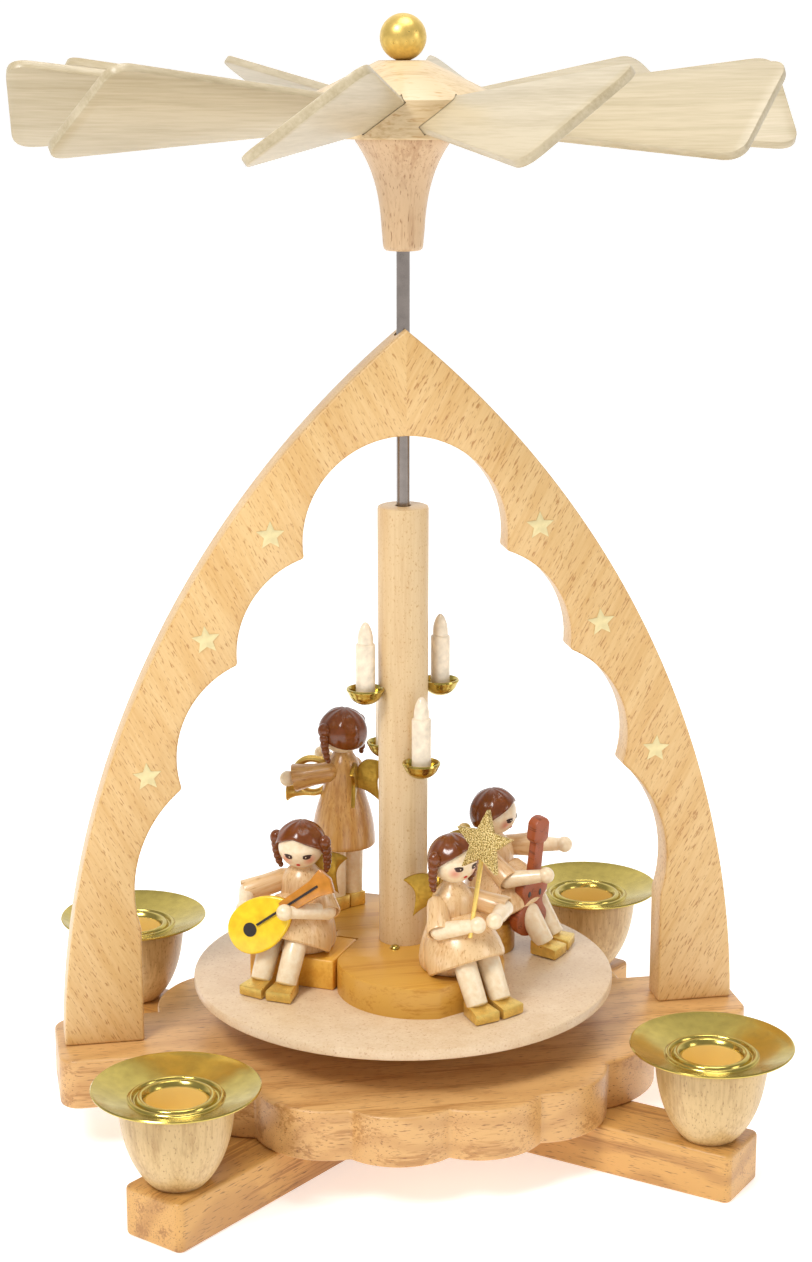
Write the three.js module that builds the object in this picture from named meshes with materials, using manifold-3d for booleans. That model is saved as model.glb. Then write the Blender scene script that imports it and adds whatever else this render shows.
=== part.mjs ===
import * as THREE from 'three';
import { mergeVertices } from 'three/addons/utils/BufferGeometryUtils.js';
import Module from 'manifold-3d';

// Christmas pyramid: a wooden stand with four candle cups, a pointed arch that guides a steel
// spindle, and on the spindle a turntable with four angels below a wheel of slanted blades.
// Millimetres and degrees, +Z up, the origin on the floor below the spindle. The arch spans X.

const wasm = await Module();
wasm.setup();

// Clearance between pieces that are set into each other
const FIT = 0.3;

// Foot bars, halved into each other
const BAR_LENGTH = 194;
const BAR_WIDTH = 18;
const BAR_HEIGHT = 12.5;
const BAR_ANGLE = 41.8;
const BAR_END_ROUND = 2;
const BAR_EDGE = 0.6;

// Base plate: three convex lobes per quarter and a square ear under each arch leg
const PLATE_THICKNESS = 13;
const PLATE_EDGE = 0.6;
const LOBE_NOTCHES = [[0, -59.2], [23.5, -55.5], [44.3, -39.5], [62.5, -14.4]];
const LOBE_RISES = [4.8, 5.3, 5.8];
const EAR_MARGIN = 1.9;
const EAR_CORNER = 5;

// Arch. Its outside is one arc on each half. The cusps of the inside and the foil stars are placed
// by their turn about the centre of that arc, in degrees above the level, and their inset from it.
const ARCH_HALF_SPAN = 88.1;
const ARCH_THICKNESS = 9;
const ARCH_EDGE = 0.5;
const ARCH_OUTER_RADIUS = 238.7;
const ARCH_CENTRE_DROP = 5.5;
const ARCH_LEG_WIDTH = 20.1;
const CUSP_TURNS = [36.3, 28.1, 19.1, 9.2];
const CUSP_INSETS = [20.1, 19.8, 19.1, 17.3];
const ARCH_LOBE_RISES = [5.5, 6.6, 5.7];
const APEX_DEPTH = 26.2;
const TENON_LENGTH = 12;
const TENON_THICKNESS = 4;
const TENON_DEPTH = 7;
const STAR_TURNS = [36.3, 28.7, 19.3];
const STAR_INSET = 9.7;
const STAR_RADIUS = 3.7;
const STAR_WAIST_RADIUS = 1.7;
const STAR_RELIEF = 0.25;

// Candle cups and drip trays
const CUP_DISTANCE = 87.5;
const CUP_HEIGHT = 20.5;
const CUP_FOOT_RADIUS = 6.8;
const CUP_BELLY_RADIUS = 13.2;
const CUP_BELLY_HEIGHT = 7;
const CUP_MOUTH_RADIUS = 13.8;
const TRAY_RADIUS = 19.94;
const TRAY_SHEET = 0.5;
const TRAY_RISE = 3.2;
const TRAY_SEAT_RADIUS = 11;
const TRAY_RING_RADIUS = 10.6;
const TRAY_GROOVE_RADIUS = 9.8;
const TRAY_LIP_RADIUS = 8.5;
const SOCKET_RADIUS = 7.2;
const SOCKET_DEPTH = 9;
const TRAY_RING_RISE = 0.9;
const TRAY_GROOVE_RISE = 0.1;
const TRAY_LIP_RISE = 0.8;
const SOCKET_EDGE_RISE = 0.2;
const CUP_SEAT_RADIUS = 11.3;

// Bearing and guide
const SPINDLE_RADIUS = 1.65;
const SPINDLE_TOP = 262;
const POINT_LENGTH = 3;
const POINT_FLAT_RADIUS = 0.4;
const BEARING_RADIUS = 4;
const BEARING_DEPTH = 8;
const BEARING_FLOOR = 3;
const BEARING_MOUTH_RADIUS = 3;
const BUSH_RADIUS = 3.6;
const BUSH_LENGTH = 8;
const BUSH_LIFT = 0.4;
const COLLAR_RADIUS = 4;
const COLLAR_HEIGHT = 3;

// Turntable and column
const DISC_RADIUS = 54.25;
const DISC_THICKNESS = 3;
const DISC_CLEARANCE = 10.4;
const DISC_EDGE = 0.5;
const RISER_HEIGHT = 8;
const RISER_LOBE_SPOTS = [[0, -11], [-9, 22], [22, 12]];
const RISER_LOBE_RADII = [25.5, 15, 10.4];
const LEG_NOTCH_START = 9;
const LEG_NOTCH_WIDTH = 14.2;
const COLUMN_FOOT_RADIUS = 6.2;
const COLUMN_HEAD_RADIUS = 6.4;
const COLUMN_HEIGHT = 122.2;
const STOOL_SIZE = [17, 23, 8];
const STOOL_DISTANCE = 26.1;
const STOOL_BEARING = 179.8;
const STOOL_FACING = 239;

// Saucers and candles on the column
const SAUCER_RADIUS = 4.7;
const SAUCER_DEPTH = 4;
const SAUCER_WALL = 0.7;
const SAUCER_PAD = 0.6;
const SAUCER_DISTANCE = 10.5;
const SAUCER_BEARINGS = [195, 15, 285, 105];
const SAUCER_RIM_HIGH = 76.1;
const SAUCER_RIM_LOW = 58.1;
const CANDLE_RADIUS = 2.45;
const CANDLE_HEIGHT = 20;
const CANDLE_TIP = 5.5;
const CANDLE_SHOULDER = 0.45;

// Bladed wheel
const NECK_FOOT_RADIUS = 4.8;
const NECK_WAIST_RADIUS = 5.2;
const NECK_HEAD_RADIUS = 11.7;
const NECK_HEAD_RIM = 1.2;
const NECK_FOOT_HEIGHT = 2.5;
const NECK_FOOT_EDGE = 0.6;
const NECK_STEM_HEIGHT = 13;
const NECK_THROAT_HEIGHT = 20;
const NECK_THROAT_RADIUS = 7.2;
const NECK_BASE_Z = 224.1;
const HUB_BASE_Z = 251.3;
const HUB_RADIUS = 23.3;
const HUB_RIM_HEIGHT = 9.4;
const HUB_HEIGHT = 17.7;
const HUB_TOP_RADIUS = 6.2;
const BLADE_COUNT = 10;
const BLADE_FIRST = 246.3;
const BLADE_TILT = 36;
const BLADE_THICKNESS = 2.2;
const BLADE_ROOT_RADIUS = 16;
const BLADE_TIP_RADIUS = 93.5;
const BLADE_ROOT_CHORD = 12.4;
const BLADE_TIP_CHORD = 34.5;
const BLADE_CORNER = 6;
const BLADE_RISE = 2.2;
const BLADE_ROOT_Z = 257;
const BALL_RADIUS = 5.6;
const BALL_FLAT_DROP = 5.4;
const BALL_PEG_RADIUS = 1.5;
const BALL_PEG_LENGTH = 4.5;

// Where the angels sit or stand, and the way they face
const LUTE_FACING = 232;
const STAR_SEAT = [8, -22];
const STAR_FACING = 298.5;
const VIOL_SEAT = [27, 14];
const VIOL_FACING = 325;
const HORN_SPOT = [-11, 27];
const HORN_FACING = 120;

// Figures. Profiles are pairs of a radius and a level above the seat, or above the floor for the
// gown, and for the skirt a distance below the waist.
const HEAD_RADIUS = 5.8;
const SEATED_HEAD_LEVEL = 28.1;
const STANDING_HEAD_LEVEL = 49.1;
const BODICE = [[8.2, 0], [8.5, 3.6], [7.2, 9], [5.6, 12.8], [5.4, 17.2], [3.9, 20.4], [2.3, 22.6]];
const SKIRT = [[4, -0.6], [7.4, 1.6], [9.5, 5.6], [10.1, 12.6]];
const SKIRT_WAIST_LEVEL = 13;
const SKIRT_TILT = 30;
const SKIRT_CLOTH = 1.5;
const SKIRT_HOLLOW = 1.4;
const GOWN = [[8.3, 17.6], [8.4, 19], [7.7, 25.4], [5.6, 31.2], [4.4, 37.8], [3.6, 41], [2.3, 43.4]];
const SHOULDER_RADIUS = 2.7;
const SLEEVE_RADIUS = 3.3;
const ELBOW_RADIUS = 2.3;
const WRIST_RADIUS = 1.6;
const HAND_RADIUS = 2.1;
const LEG_RADIUS = 3;
const ANKLE_RADIUS = 2.7;
const LEG_SPREAD = 3.6;
const STANCE = 2.9;
const HIP = [9.8, 5.3];
const ANKLE = [15.7, -5];
const STANDING_HIP_LEVEL = 19;
const STANDING_ANKLE_LEVEL = 2;
const SHOE_LENGTH = 8;
const SHOE_HEEL_WIDTH = 4.8;
const SHOE_TOE_WIDTH = 7;
const SHOE_HEEL_HEIGHT = 3.9;
const SHOE_TOE_HEIGHT = 2.7;
const SHOE_AHEAD = 0.9;
const SHOE_TURN = 6;

// Hair, wings and what the figures hold
const HAIR_THICKNESS = 0.8;
const HAIR_SHIFT = [-0.5, 0.4];
const HAIR_NAPE_DROP = 4.2;
const FACE_RADIUS = 5;
const FACE_SPOT = [7.4, 2.3, -1.7];
const BUN_RADIUS = 1.8;
const BUN_SPOT = [0.2, 6.7, 1.4];
const LOCK_END = [-0.6, 6.5, -4.6];
const LOCK_RADIUS = 1.4;
const LOCK_TIP_RADIUS = 0.8;
const WING_THICKNESS = 1.1;
const WING_SWEEP = 48;
const WING_HEEL = [2.6, -2.4];
const WING_LOW_POINT = [6.4, -6.2];
const WING_WAIST = [5.7, -0.8];
const WING_HIGH_POINT = [8.8, 3.4];
const WING_TOP = [3.2, 5.4];
const WING_BOSS_RADIUS = 1.7;
const SEATED_WING_LEVEL = 17.4;
const SEATED_WING_BACK = 6.2;
const STANDING_WING_LEVEL = 36.8;
const STANDING_WING_BACK = 5.4;
const LUTE_TAIL = 6.4;
const LUTE_FRONT = 9;
const LUTE_BELLY = 7;
const LUTE_FRONT_HALF = 1.6;
const LUTE_THICKNESS = 3.4;
const LUTE_EDGE = 0.5;
const LUTE_NECK = [[6, 1.5], [16, 1.8], [19.5, 2.9], [20.4, 1.2]];
const LUTE_NECK_THICKNESS = 1.9;
const HELD_STAR_RADIUS = 7;
const HELD_STAR_WAIST_RADIUS = 3.1;
const HELD_STAR_THICKNESS = 1.8;
const STAFF_RADIUS = 0.75;
const STAFF_LENGTH = 20.2;
const STAFF_TAIL = 3.2;
const STAFF_STAR_LEVEL = 20.5;
const VIOL_END = 17;
const VIOL_LOWER_BOUT = [5.4, -12];
const VIOL_LOWER_RISE = 1.8;
const VIOL_WAIST = [3.4, -7];
const VIOL_UPPER_BOUT = [4.4, -3.4];
const VIOL_UPPER_RISE = 1;
const VIOL_SHOULDER = [1.8, 0.8];
const VIOL_NECK_HALF = 1.6;
const VIOL_NUT = [2.6, 10.4];
const VIOL_SCROLL = [2.4, 16];
const VIOL_THICKNESS = 2.8;
const HORN_RING_RADIUS = 4.7;
const HORN_TUBE_RADIUS = 0.95;
const HORN_BELL_LENGTH = 6.5;
const HORN_BELL_RADIUS = 2.4;
const HORN_PIPE_LENGTH = 5.6;
const HORN_MOUTH_RADIUS = 0.7;

const rad = THREE.MathUtils.degToRad;

// Levels that follow from the sizes above
const plateBase = BAR_HEIGHT;
const plateTop = plateBase + PLATE_THICKNESS;
const cupBase = BAR_HEIGHT;
const traySeat = cupBase + CUP_HEIGHT;
const discBase = plateTop + DISC_CLEARANCE;
const discTop = discBase + DISC_THICKNESS;
const riserTop = discTop + RISER_HEIGHT;
const stoolTop = discTop + STOOL_SIZE[2];
const columnTop = discTop + COLUMN_HEIGHT;
const hubTop = HUB_BASE_Z + HUB_HEIGHT;

const group = new THREE.Group();
group.name = 'christmas_pyramid';

// Materials
const matte = (color, roughness = 0.6) => new THREE.MeshStandardMaterial({ color, roughness, metalness: 0 });
const metal = (color, roughness = 0.3) => new THREE.MeshStandardMaterial({ color, roughness, metalness: 1 });
const beech = matte(0xd8b083);
const maple = matte(0xe6cfa4);
const limewood = matte(0xdcc7a0);
const yellowStain = matte(0xe0ab45, 0.5);
const orangeStain = matte(0xdd9a3c, 0.5);
const figureWood = matte(0xe8cda6);
const hairPaint = matte(0x7a4526, 0.25);
const lutePaint = matte(0xf2c81e, 0.3);
const violPaint = matte(0xa8603c, 0.4);
const candlePaint = matte(0xf4ead8, 0.4);
const brass = metal(0xd9b24a);
const goldPaint = metal(0xc9a23e, 0.35);
const steel = metal(0x9a9088, 0.25);

// A welded closed body from any geometry
function solid(geometry) {
  const shell = geometry.clone();
  shell.deleteAttribute('normal');
  shell.deleteAttribute('uv');
  const welded = mergeVertices(shell, 1e-4);
  const corners = welded.index.array;
  const triangles = [];
  for (let i = 0; i < corners.length; i += 3) {
    const [a, b, c] = [corners[i], corners[i + 1], corners[i + 2]];
    if (a !== b && b !== c && c !== a) triangles.push(a, b, c);
  }
  const vertProperties = Float32Array.from(welded.attributes.position.array);
  const triVerts = Uint32Array.from(triangles);
  return new wasm.Manifold(new wasm.Mesh({ numProp: 3, vertProperties, triVerts }));
}

function geometryOf(body) {
  const mesh = body.getMesh();
  const geometry = new THREE.BufferGeometry();
  geometry.setAttribute('position', new THREE.BufferAttribute(Float32Array.from(mesh.vertProperties), 3));
  geometry.setIndex(new THREE.BufferAttribute(Uint32Array.from(mesh.triVerts), 1));
  geometry.computeVertexNormals();
  return geometry;
}

const join = (bodies) => bodies.reduce((whole, body) => whole.add(body));
const carve = (body, tools) => tools.reduce((rest, tool) => rest.subtract(tool), body);

function add(name, body, material) {
  const mesh = new THREE.Mesh(geometryOf(body), material);
  mesh.name = name;
  group.add(mesh);
}

// Shape tools: every body is built in place, with +Z up
function turned(profile, segments) {
  const points = profile.map(([r, z]) => new THREE.Vector2(Math.max(r, 0), z));
  return new THREE.LatheGeometry(points, segments).rotateX(Math.PI / 2);
}

function slab(shape, z0, z1, curveSegments = 5) {
  const options = { depth: z1 - z0, bevelEnabled: false, curveSegments };
  return new THREE.ExtrudeGeometry(shape, options).translate(0, 0, z0);
}

function edgedSlab(shape, z0, z1, edge, curveSegments = 5) {
  const options = {
    depth: z1 - z0 - 2 * edge,
    bevelEnabled: true,
    bevelThickness: edge,
    bevelSize: edge,
    bevelOffset: -edge,
    bevelSegments: 1,
    curveSegments,
  };
  return new THREE.ExtrudeGeometry(shape, options).translate(0, 0, z0 + edge);
}

function box(sizes, centre) {
  return new THREE.BoxGeometry(...sizes).translate(...centre);
}

function pin(radius, z0, z1, segments = 12, headRadius = radius) {
  const stem = new THREE.CylinderGeometry(headRadius, radius, z1 - z0, segments);
  return stem.rotateX(Math.PI / 2).translate(0, 0, (z0 + z1) / 2);
}

function ball(radius, centre, columns = 12, rows = 7) {
  return new THREE.SphereGeometry(radius, columns, rows).rotateX(Math.PI / 2).translate(...centre);
}

// A tapered round rod from one point to another
function rod(from, to, fromRadius, toRadius, segments = 7) {
  const start = new THREE.Vector3(...from);
  const run = new THREE.Vector3(...to).sub(start);
  const length = run.length();
  const turn = new THREE.Quaternion().setFromUnitVectors(new THREE.Vector3(0, 1, 0), run.normalize());
  return new THREE.CylinderGeometry(toRadius, fromRadius, length, segments)
    .translate(0, length / 2, 0)
    .applyQuaternion(turn)
    .translate(...from);
}

// Points of a circular arc between two points, bulging to the right of the run by its rise
function bulge([x0, y0], [x1, y1], rise, steps) {
  const chord = Math.hypot(x1 - x0, y1 - y0);
  const radius = (chord * chord / 4 + rise * rise) / (2 * rise);
  const half = Math.asin(chord / (2 * radius));
  const [ux, uy] = [(x1 - x0) / chord, (y1 - y0) / chord];
  const points = [];
  for (let i = 1; i <= steps; i += 1) {
    const turn = -half + (2 * half * i) / steps;
    const along = chord / 2 + radius * Math.sin(turn);
    const out = radius * Math.cos(turn) - (radius - rise);
    points.push([x0 + ux * along + uy * out, y0 + uy * along - ux * out]);
  }
  return points;
}

// Points of a circle arc about a centre, from one angle to another in radians
function arcPoints([cx, cy], radius, from, to, steps) {
  const points = [];
  for (let i = 0; i <= steps; i += 1) {
    const angle = from + ((to - from) * i) / steps;
    points.push([cx + radius * Math.cos(angle), cy + radius * Math.sin(angle)]);
  }
  return points;
}

function starPoints([cx, cy], reach, waist) {
  const points = [];
  for (let i = 0; i < 10; i += 1) {
    const radius = i % 2 === 0 ? reach : waist;
    const angle = Math.PI / 2 + (i * Math.PI) / 5;
    points.push([cx + radius * Math.cos(angle), cy + radius * Math.sin(angle)]);
  }
  return points;
}

const outline = (points) => new THREE.Shape(points.map(([x, y]) => new THREE.Vector2(x, y)));
const mirrored = (points) => points.map(([x, y]) => [-x, y]).reverse();
const polar = (radius, degrees) => [radius * Math.cos(rad(degrees)), radius * Math.sin(rad(degrees))];

// Foot bars

function barShape(grow) {
  const [l, w] = [BAR_LENGTH / 2 + grow, BAR_WIDTH / 2 + grow];
  const end = BAR_END_ROUND;
  return new THREE.Shape()
    .moveTo(-l + end, -w)
    .lineTo(l - end, -w)
    .quadraticCurveTo(l, -w, l, -w + end)
    .lineTo(l, w - end)
    .quadraticCurveTo(l, w, l - end, w)
    .lineTo(-l + end, w)
    .quadraticCurveTo(-l, w, -l, w - end)
    .lineTo(-l, -w + end)
    .quadraticCurveTo(-l, -w, -l + end, -w);
}

const barSolid = (angle) => solid(edgedSlab(barShape(0), 0, BAR_HEIGHT, BAR_EDGE, 3).rotateZ(rad(angle)));
const barTool = (angle, z0, z1) => solid(slab(barShape(FIT), z0, z1, 1).rotateZ(rad(angle)));
const barMiddle = BAR_HEIGHT / 2;
add('foot_bar_lower', barSolid(BAR_ANGLE).subtract(barTool(-BAR_ANGLE, barMiddle, 2 * BAR_HEIGHT)), beech);
add('foot_bar_upper', barSolid(-BAR_ANGLE).subtract(barTool(BAR_ANGLE, -BAR_HEIGHT, barMiddle)), beech);

// Base plate

const legOuterX = ARCH_HALF_SPAN;
const legInnerX = legOuterX - ARCH_LEG_WIDTH;
const earX = legOuterX + EAR_MARGIN;
const frontLobes = LOBE_RISES.flatMap((rise, i) => (
  bulge(LOBE_NOTCHES[i], LOBE_NOTCHES[i + 1], rise, 4)
));
const earY = LOBE_NOTCHES[LOBE_NOTCHES.length - 1][1];
const earCorner = arcPoints([earX - EAR_CORNER, earY + EAR_CORNER], EAR_CORNER, -Math.PI / 2, 0, 3);
const rightFront = [...frontLobes, ...earCorner];
const rightSide = [...rightFront, ...rightFront.map(([x, y]) => [x, -y]).reverse()];
const plateOutline = [LOBE_NOTCHES[0], ...rightSide, [0, -LOBE_NOTCHES[0][1]], ...mirrored(rightSide)];

const bearingZ0 = plateTop - BEARING_DEPTH;
const tenonX = (legInnerX + legOuterX) / 2;

function tenon(side, grow = 0) {
  const sizes = [TENON_LENGTH + 2 * grow, TENON_THICKNESS + 2 * grow, 2 * (TENON_DEPTH + grow)];
  return solid(box(sizes, [side * tenonX, 0, plateTop]));
}

add('base_plate', carve(solid(edgedSlab(outline(plateOutline), plateBase, plateTop, PLATE_EDGE)), [
  solid(pin(BEARING_RADIUS + FIT, bearingZ0, plateTop + BEARING_DEPTH)),
  tenon(1, FIT),
  tenon(-1, FIT),
]), beech);

// Bearing cup: a brass thimble whose hollow cone carries the point of the spindle

const pointZ = bearingZ0 + BEARING_FLOOR;
add('bearing_cup', solid(turned([
  [0, bearingZ0],
  [BEARING_RADIUS, bearingZ0],
  [BEARING_RADIUS, plateTop],
  [BEARING_MOUTH_RADIUS, plateTop],
  [POINT_FLAT_RADIUS + FIT, pointZ],
  [0, pointZ],
], 12)), brass);

// Arch: the outline is one large arc outside, a crown and three lobes inside. It runs past the
// seam and the feet, and is cut square there, so that only the long edges are eased.

const outerCentreZ = plateTop - ARCH_CENTRE_DROP;
const outerCentreX = legOuterX - Math.sqrt(ARCH_OUTER_RADIUS ** 2 - ARCH_CENTRE_DROP ** 2);
const outerCentre = [outerCentreX, outerCentreZ];
const apexZ = outerCentreZ + Math.sqrt(ARCH_OUTER_RADIUS ** 2 - outerCentreX ** 2);
const crownZ = apexZ - APEX_DEPTH;

function insetPoint(turn, inset) {
  const [x, z] = polar(ARCH_OUTER_RADIUS - inset, turn);
  return [outerCentreX + x, outerCentreZ + z];
}

const cusps = CUSP_TURNS.map((turn, i) => insetPoint(turn, CUSP_INSETS[i]));
const [cuspX, cuspZ] = cusps[0];
const crownRadius = (cuspX ** 2 + (crownZ - cuspZ) ** 2) / (2 * (crownZ - cuspZ));
const crownCentre = [0, crownZ - crownRadius];

function archOutline() {
  const past = ARCH_EDGE * 4;
  const top = Math.atan2(apexZ - outerCentreZ, -outerCentreX);
  const foot = Math.asin((ARCH_CENTRE_DROP - past) / ARCH_OUTER_RADIUS);
  const cuspAngle = Math.atan2(cuspZ - crownCentre[1], cuspX);
  const lobes = ARCH_LOBE_RISES.flatMap((rise, i) => (
    bulge(cusps[i + 1], cusps[i], rise, 4).slice(0, -1).reverse().concat([cusps[i + 1]])
  ));
  return outline([
    ...arcPoints(outerCentre, ARCH_OUTER_RADIUS, foot, top, 12),
    [-past, apexZ],
    [-past, crownZ],
    ...arcPoints(crownCentre, crownRadius, Math.PI / 2, cuspAngle, 5),
    ...lobes,
    [legInnerX, plateTop - past],
  ]);
}

// The outline is drawn in X and Z, so the slab is stood up with its thickness along Y
const stood = (geometry) => geometry.rotateX(Math.PI / 2);
const archHalf = ARCH_THICKNESS / 2;
const trim = 2 * apexZ;
const starsRight = STAR_TURNS.map((turn) => {
  const foil = outline(starPoints(insetPoint(turn, STAR_INSET), STAR_RADIUS, STAR_WAIST_RADIUS));
  return solid(stood(slab(foil, archHalf - STAR_RELIEF, archHalf + STAR_RELIEF)));
});
const bushTop = crownZ + BUSH_LENGTH;
const rightHalf = carve(solid(stood(edgedSlab(archOutline(), -archHalf, archHalf, ARCH_EDGE))), [
  solid(box([trim, trim, 2 * trim], [-trim / 2, 0, 0])),
  solid(box([trim, trim, plateTop], [trim / 2, 0, plateTop / 2])),
  solid(pin(BUSH_RADIUS + FIT, cuspZ, bushTop)),
  solid(pin(SPINDLE_RADIUS + 2 * FIT, crownZ, trim)),
]);
const archRight = join([rightHalf, tenon(1), ...starsRight]);
add('arch_half_right', archRight, maple);

// The left half is the mirror image, with each triangle turned round again
function mirrorX(geometry) {
  const flipped = geometry.clone().scale(-1, 1, 1);
  const corners = flipped.index.array;
  for (let i = 0; i < corners.length; i += 3) {
    [corners[i], corners[i + 1]] = [corners[i + 1], corners[i]];
  }
  return solid(flipped);
}

add('arch_half_left', mirrorX(geometryOf(archRight)), maple);

const bushBase = crownZ + BUSH_LIFT;
const bushBore = SPINDLE_RADIUS + FIT;
add('guide_bush', solid(turned([
  [bushBore, bushBase],
  [BUSH_RADIUS, bushBase],
  [BUSH_RADIUS, bushTop],
  [bushBore, bushTop],
  [bushBore, bushBase],
], 12)), brass);

// Candle cups and drip trays, one at each bar end

const flangeSlope = TRAY_RISE / (TRAY_RADIUS - TRAY_SEAT_RADIUS);
const cupLip = traySeat + (CUP_MOUTH_RADIUS - TRAY_SEAT_RADIUS) * flangeSlope - FIT;
const trayFloor = traySeat + TRAY_SHEET;
const socketFloor = trayFloor - SOCKET_DEPTH;
const trayRim = traySeat + TRAY_RISE;

function cupProfile() {
  const wall = new THREE.QuadraticBezierCurve(
    new THREE.Vector2(CUP_FOOT_RADIUS, cupBase),
    new THREE.Vector2(CUP_BELLY_RADIUS, cupBase + CUP_BELLY_HEIGHT),
    new THREE.Vector2(CUP_MOUTH_RADIUS, cupLip),
  );
  const boreRadius = SOCKET_RADIUS + TRAY_SHEET + FIT;
  const boreFloor = socketFloor - TRAY_SHEET - 3 * FIT;
  return [
    [0, cupBase],
    ...wall.getPoints(5).map((p) => [p.x, p.y]),
    [CUP_SEAT_RADIUS, traySeat],
    [boreRadius, traySeat],
    [boreRadius, boreFloor],
    [0, boreFloor],
  ];
}

function trayProfile() {
  return [
    [0, socketFloor - TRAY_SHEET],
    [SOCKET_RADIUS + TRAY_SHEET, socketFloor - TRAY_SHEET],
    [SOCKET_RADIUS + TRAY_SHEET, traySeat],
    [TRAY_SEAT_RADIUS, traySeat],
    [TRAY_RADIUS, trayRim],
    [TRAY_RADIUS - TRAY_SHEET / 2, trayRim + TRAY_SHEET],
    [TRAY_RING_RADIUS, trayFloor + TRAY_RING_RISE],
    [TRAY_GROOVE_RADIUS, trayFloor + TRAY_GROOVE_RISE],
    [TRAY_LIP_RADIUS, trayFloor + TRAY_LIP_RISE],
    [SOCKET_RADIUS, trayFloor + SOCKET_EDGE_RISE],
    [SOCKET_RADIUS, socketFloor],
    [0, socketFloor],
  ];
}

const cupAngles = [BAR_ANGLE, 180 - BAR_ANGLE, 180 + BAR_ANGLE, 360 - BAR_ANGLE];
const cupNames = ['back_right', 'back_left', 'front_left', 'front_right'];
cupAngles.forEach((angle, i) => {
  const [x, y] = polar(CUP_DISTANCE, angle);
  add(`candle_cup_${cupNames[i]}`, solid(turned(cupProfile(), 14).translate(x, y, 0)), limewood);
  add(`drip_tray_${cupNames[i]}`, solid(turned(trayProfile(), 16).translate(x, y, 0)), brass);
});

// Spindle with its point in the bearing and a collar that carries the turntable

const collarBase = discBase - COLLAR_HEIGHT;
add('spindle', solid(turned([
  [0, pointZ],
  [POINT_FLAT_RADIUS, pointZ],
  [SPINDLE_RADIUS, pointZ + POINT_LENGTH],
  [SPINDLE_RADIUS, collarBase],
  [COLLAR_RADIUS, collarBase],
  [COLLAR_RADIUS, discBase],
  [SPINDLE_RADIUS, discBase],
  [SPINDLE_RADIUS, SPINDLE_TOP],
  [0, SPINDLE_TOP],
], 12)), steel);

// Turntable

const spindleBore = SPINDLE_RADIUS + FIT;
add('turntable_disc', solid(turned([
  [spindleBore, discBase],
  [DISC_RADIUS - DISC_EDGE, discBase],
  [DISC_RADIUS, discBase + DISC_EDGE],
  [DISC_RADIUS, discTop - DISC_EDGE],
  [DISC_RADIUS - DISC_EDGE, discTop],
  [spindleBore, discTop],
  [spindleBore, discBase],
], 40)), limewood);

const stoolSpot = polar(STOOL_DISTANCE, STOOL_BEARING);

function stool(grow = 0) {
  const [depth, width, height] = STOOL_SIZE;
  const block = new THREE.BoxGeometry(depth + 2 * grow, width + 2 * grow, height + 2 * grow);
  return solid(block.rotateZ(rad(STOOL_FACING)).translate(...stoolSpot, discTop + height / 2));
}

// The riser is three round lobes in one, cut back for the stool, the column and a pair of legs
const riserLobes = RISER_LOBE_SPOTS.map(([x, y], i) => (
  solid(pin(RISER_LOBE_RADII[i], discTop, riserTop, 24).translate(x, y, 0))
));
const notchLength = 2 * RISER_LOBE_RADII[0];
const legNotch = box([notchLength, LEG_NOTCH_WIDTH, 3 * RISER_HEIGHT], [0, 0, riserTop])
  .translate(LEG_NOTCH_START + notchLength / 2, 0, 0)
  .rotateZ(rad(STAR_FACING))
  .translate(...STAR_SEAT, 0);
const riser = carve(join(riserLobes), [
  stool(FIT),
  solid(legNotch),
  solid(pin(COLUMN_FOOT_RADIUS + 2 * FIT, discTop - FIT, riserTop + FIT, 16)),
]);
add('riser_block', riser, yellowStain);
add('stool_block', stool(), orangeStain);

function columnProfile(grow = 0) {
  return [
    [spindleBore, discTop],
    [COLUMN_FOOT_RADIUS + grow, discTop],
    [COLUMN_HEAD_RADIUS + grow, columnTop - DISC_EDGE],
    [COLUMN_HEAD_RADIUS - DISC_EDGE + grow, columnTop],
    [spindleBore, columnTop],
    [spindleBore, discTop],
  ];
}

add('column', solid(turned(columnProfile(), 16)), maple);

// Saucers are small brass bowls set against the column, each with a turned candle in it

const columnHollow = solid(turned(columnProfile(FIT), 16));

function saucerProfile(rim) {
  const quarter = arcPoints([0, 0], 1, 0, Math.PI / 2, 3);
  const outside = quarter.map(([r, z]) => [SAUCER_RADIUS * r, rim - SAUCER_DEPTH * z]).reverse();
  const pad = CANDLE_RADIUS + FIT;
  const inside = quarter
    .map(([r, z]) => [(SAUCER_RADIUS - SAUCER_WALL) * r, rim - (SAUCER_DEPTH - SAUCER_WALL) * z])
    .filter(([r]) => r > pad);
  const padTop = rim - SAUCER_DEPTH + SAUCER_WALL + SAUCER_PAD;
  return [[0, rim - SAUCER_DEPTH], ...outside.slice(1), ...inside, [pad, padTop], [0, padTop]];
}

function candleProfile(foot) {
  const top = foot + CANDLE_HEIGHT;
  const shoulder = top - CANDLE_TIP;
  const tip = arcPoints([0, 0], 1, 0, Math.PI / 2, 3)
    .map(([r, z]) => [(CANDLE_RADIUS - CANDLE_SHOULDER) * r, shoulder + CANDLE_TIP * z]);
  return [[0, foot], [CANDLE_RADIUS, foot], [CANDLE_RADIUS, shoulder], ...tip];
}

SAUCER_BEARINGS.forEach((bearing, i) => {
  const rim = discTop + (i < 2 ? SAUCER_RIM_HIGH : SAUCER_RIM_LOW);
  const foot = rim - SAUCER_DEPTH + SAUCER_WALL + SAUCER_PAD;
  const [x, y] = polar(SAUCER_DISTANCE, bearing);
  const saucer = solid(turned(saucerProfile(rim), 10).translate(x, y, 0));
  const candle = solid(turned(candleProfile(foot), 8).translate(x, y, 0));
  add(`saucer_${i + 1}`, saucer.subtract(columnHollow), brass);
  add(`mini_candle_${i + 1}`, candle.subtract(columnHollow), candlePaint);
});

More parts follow.
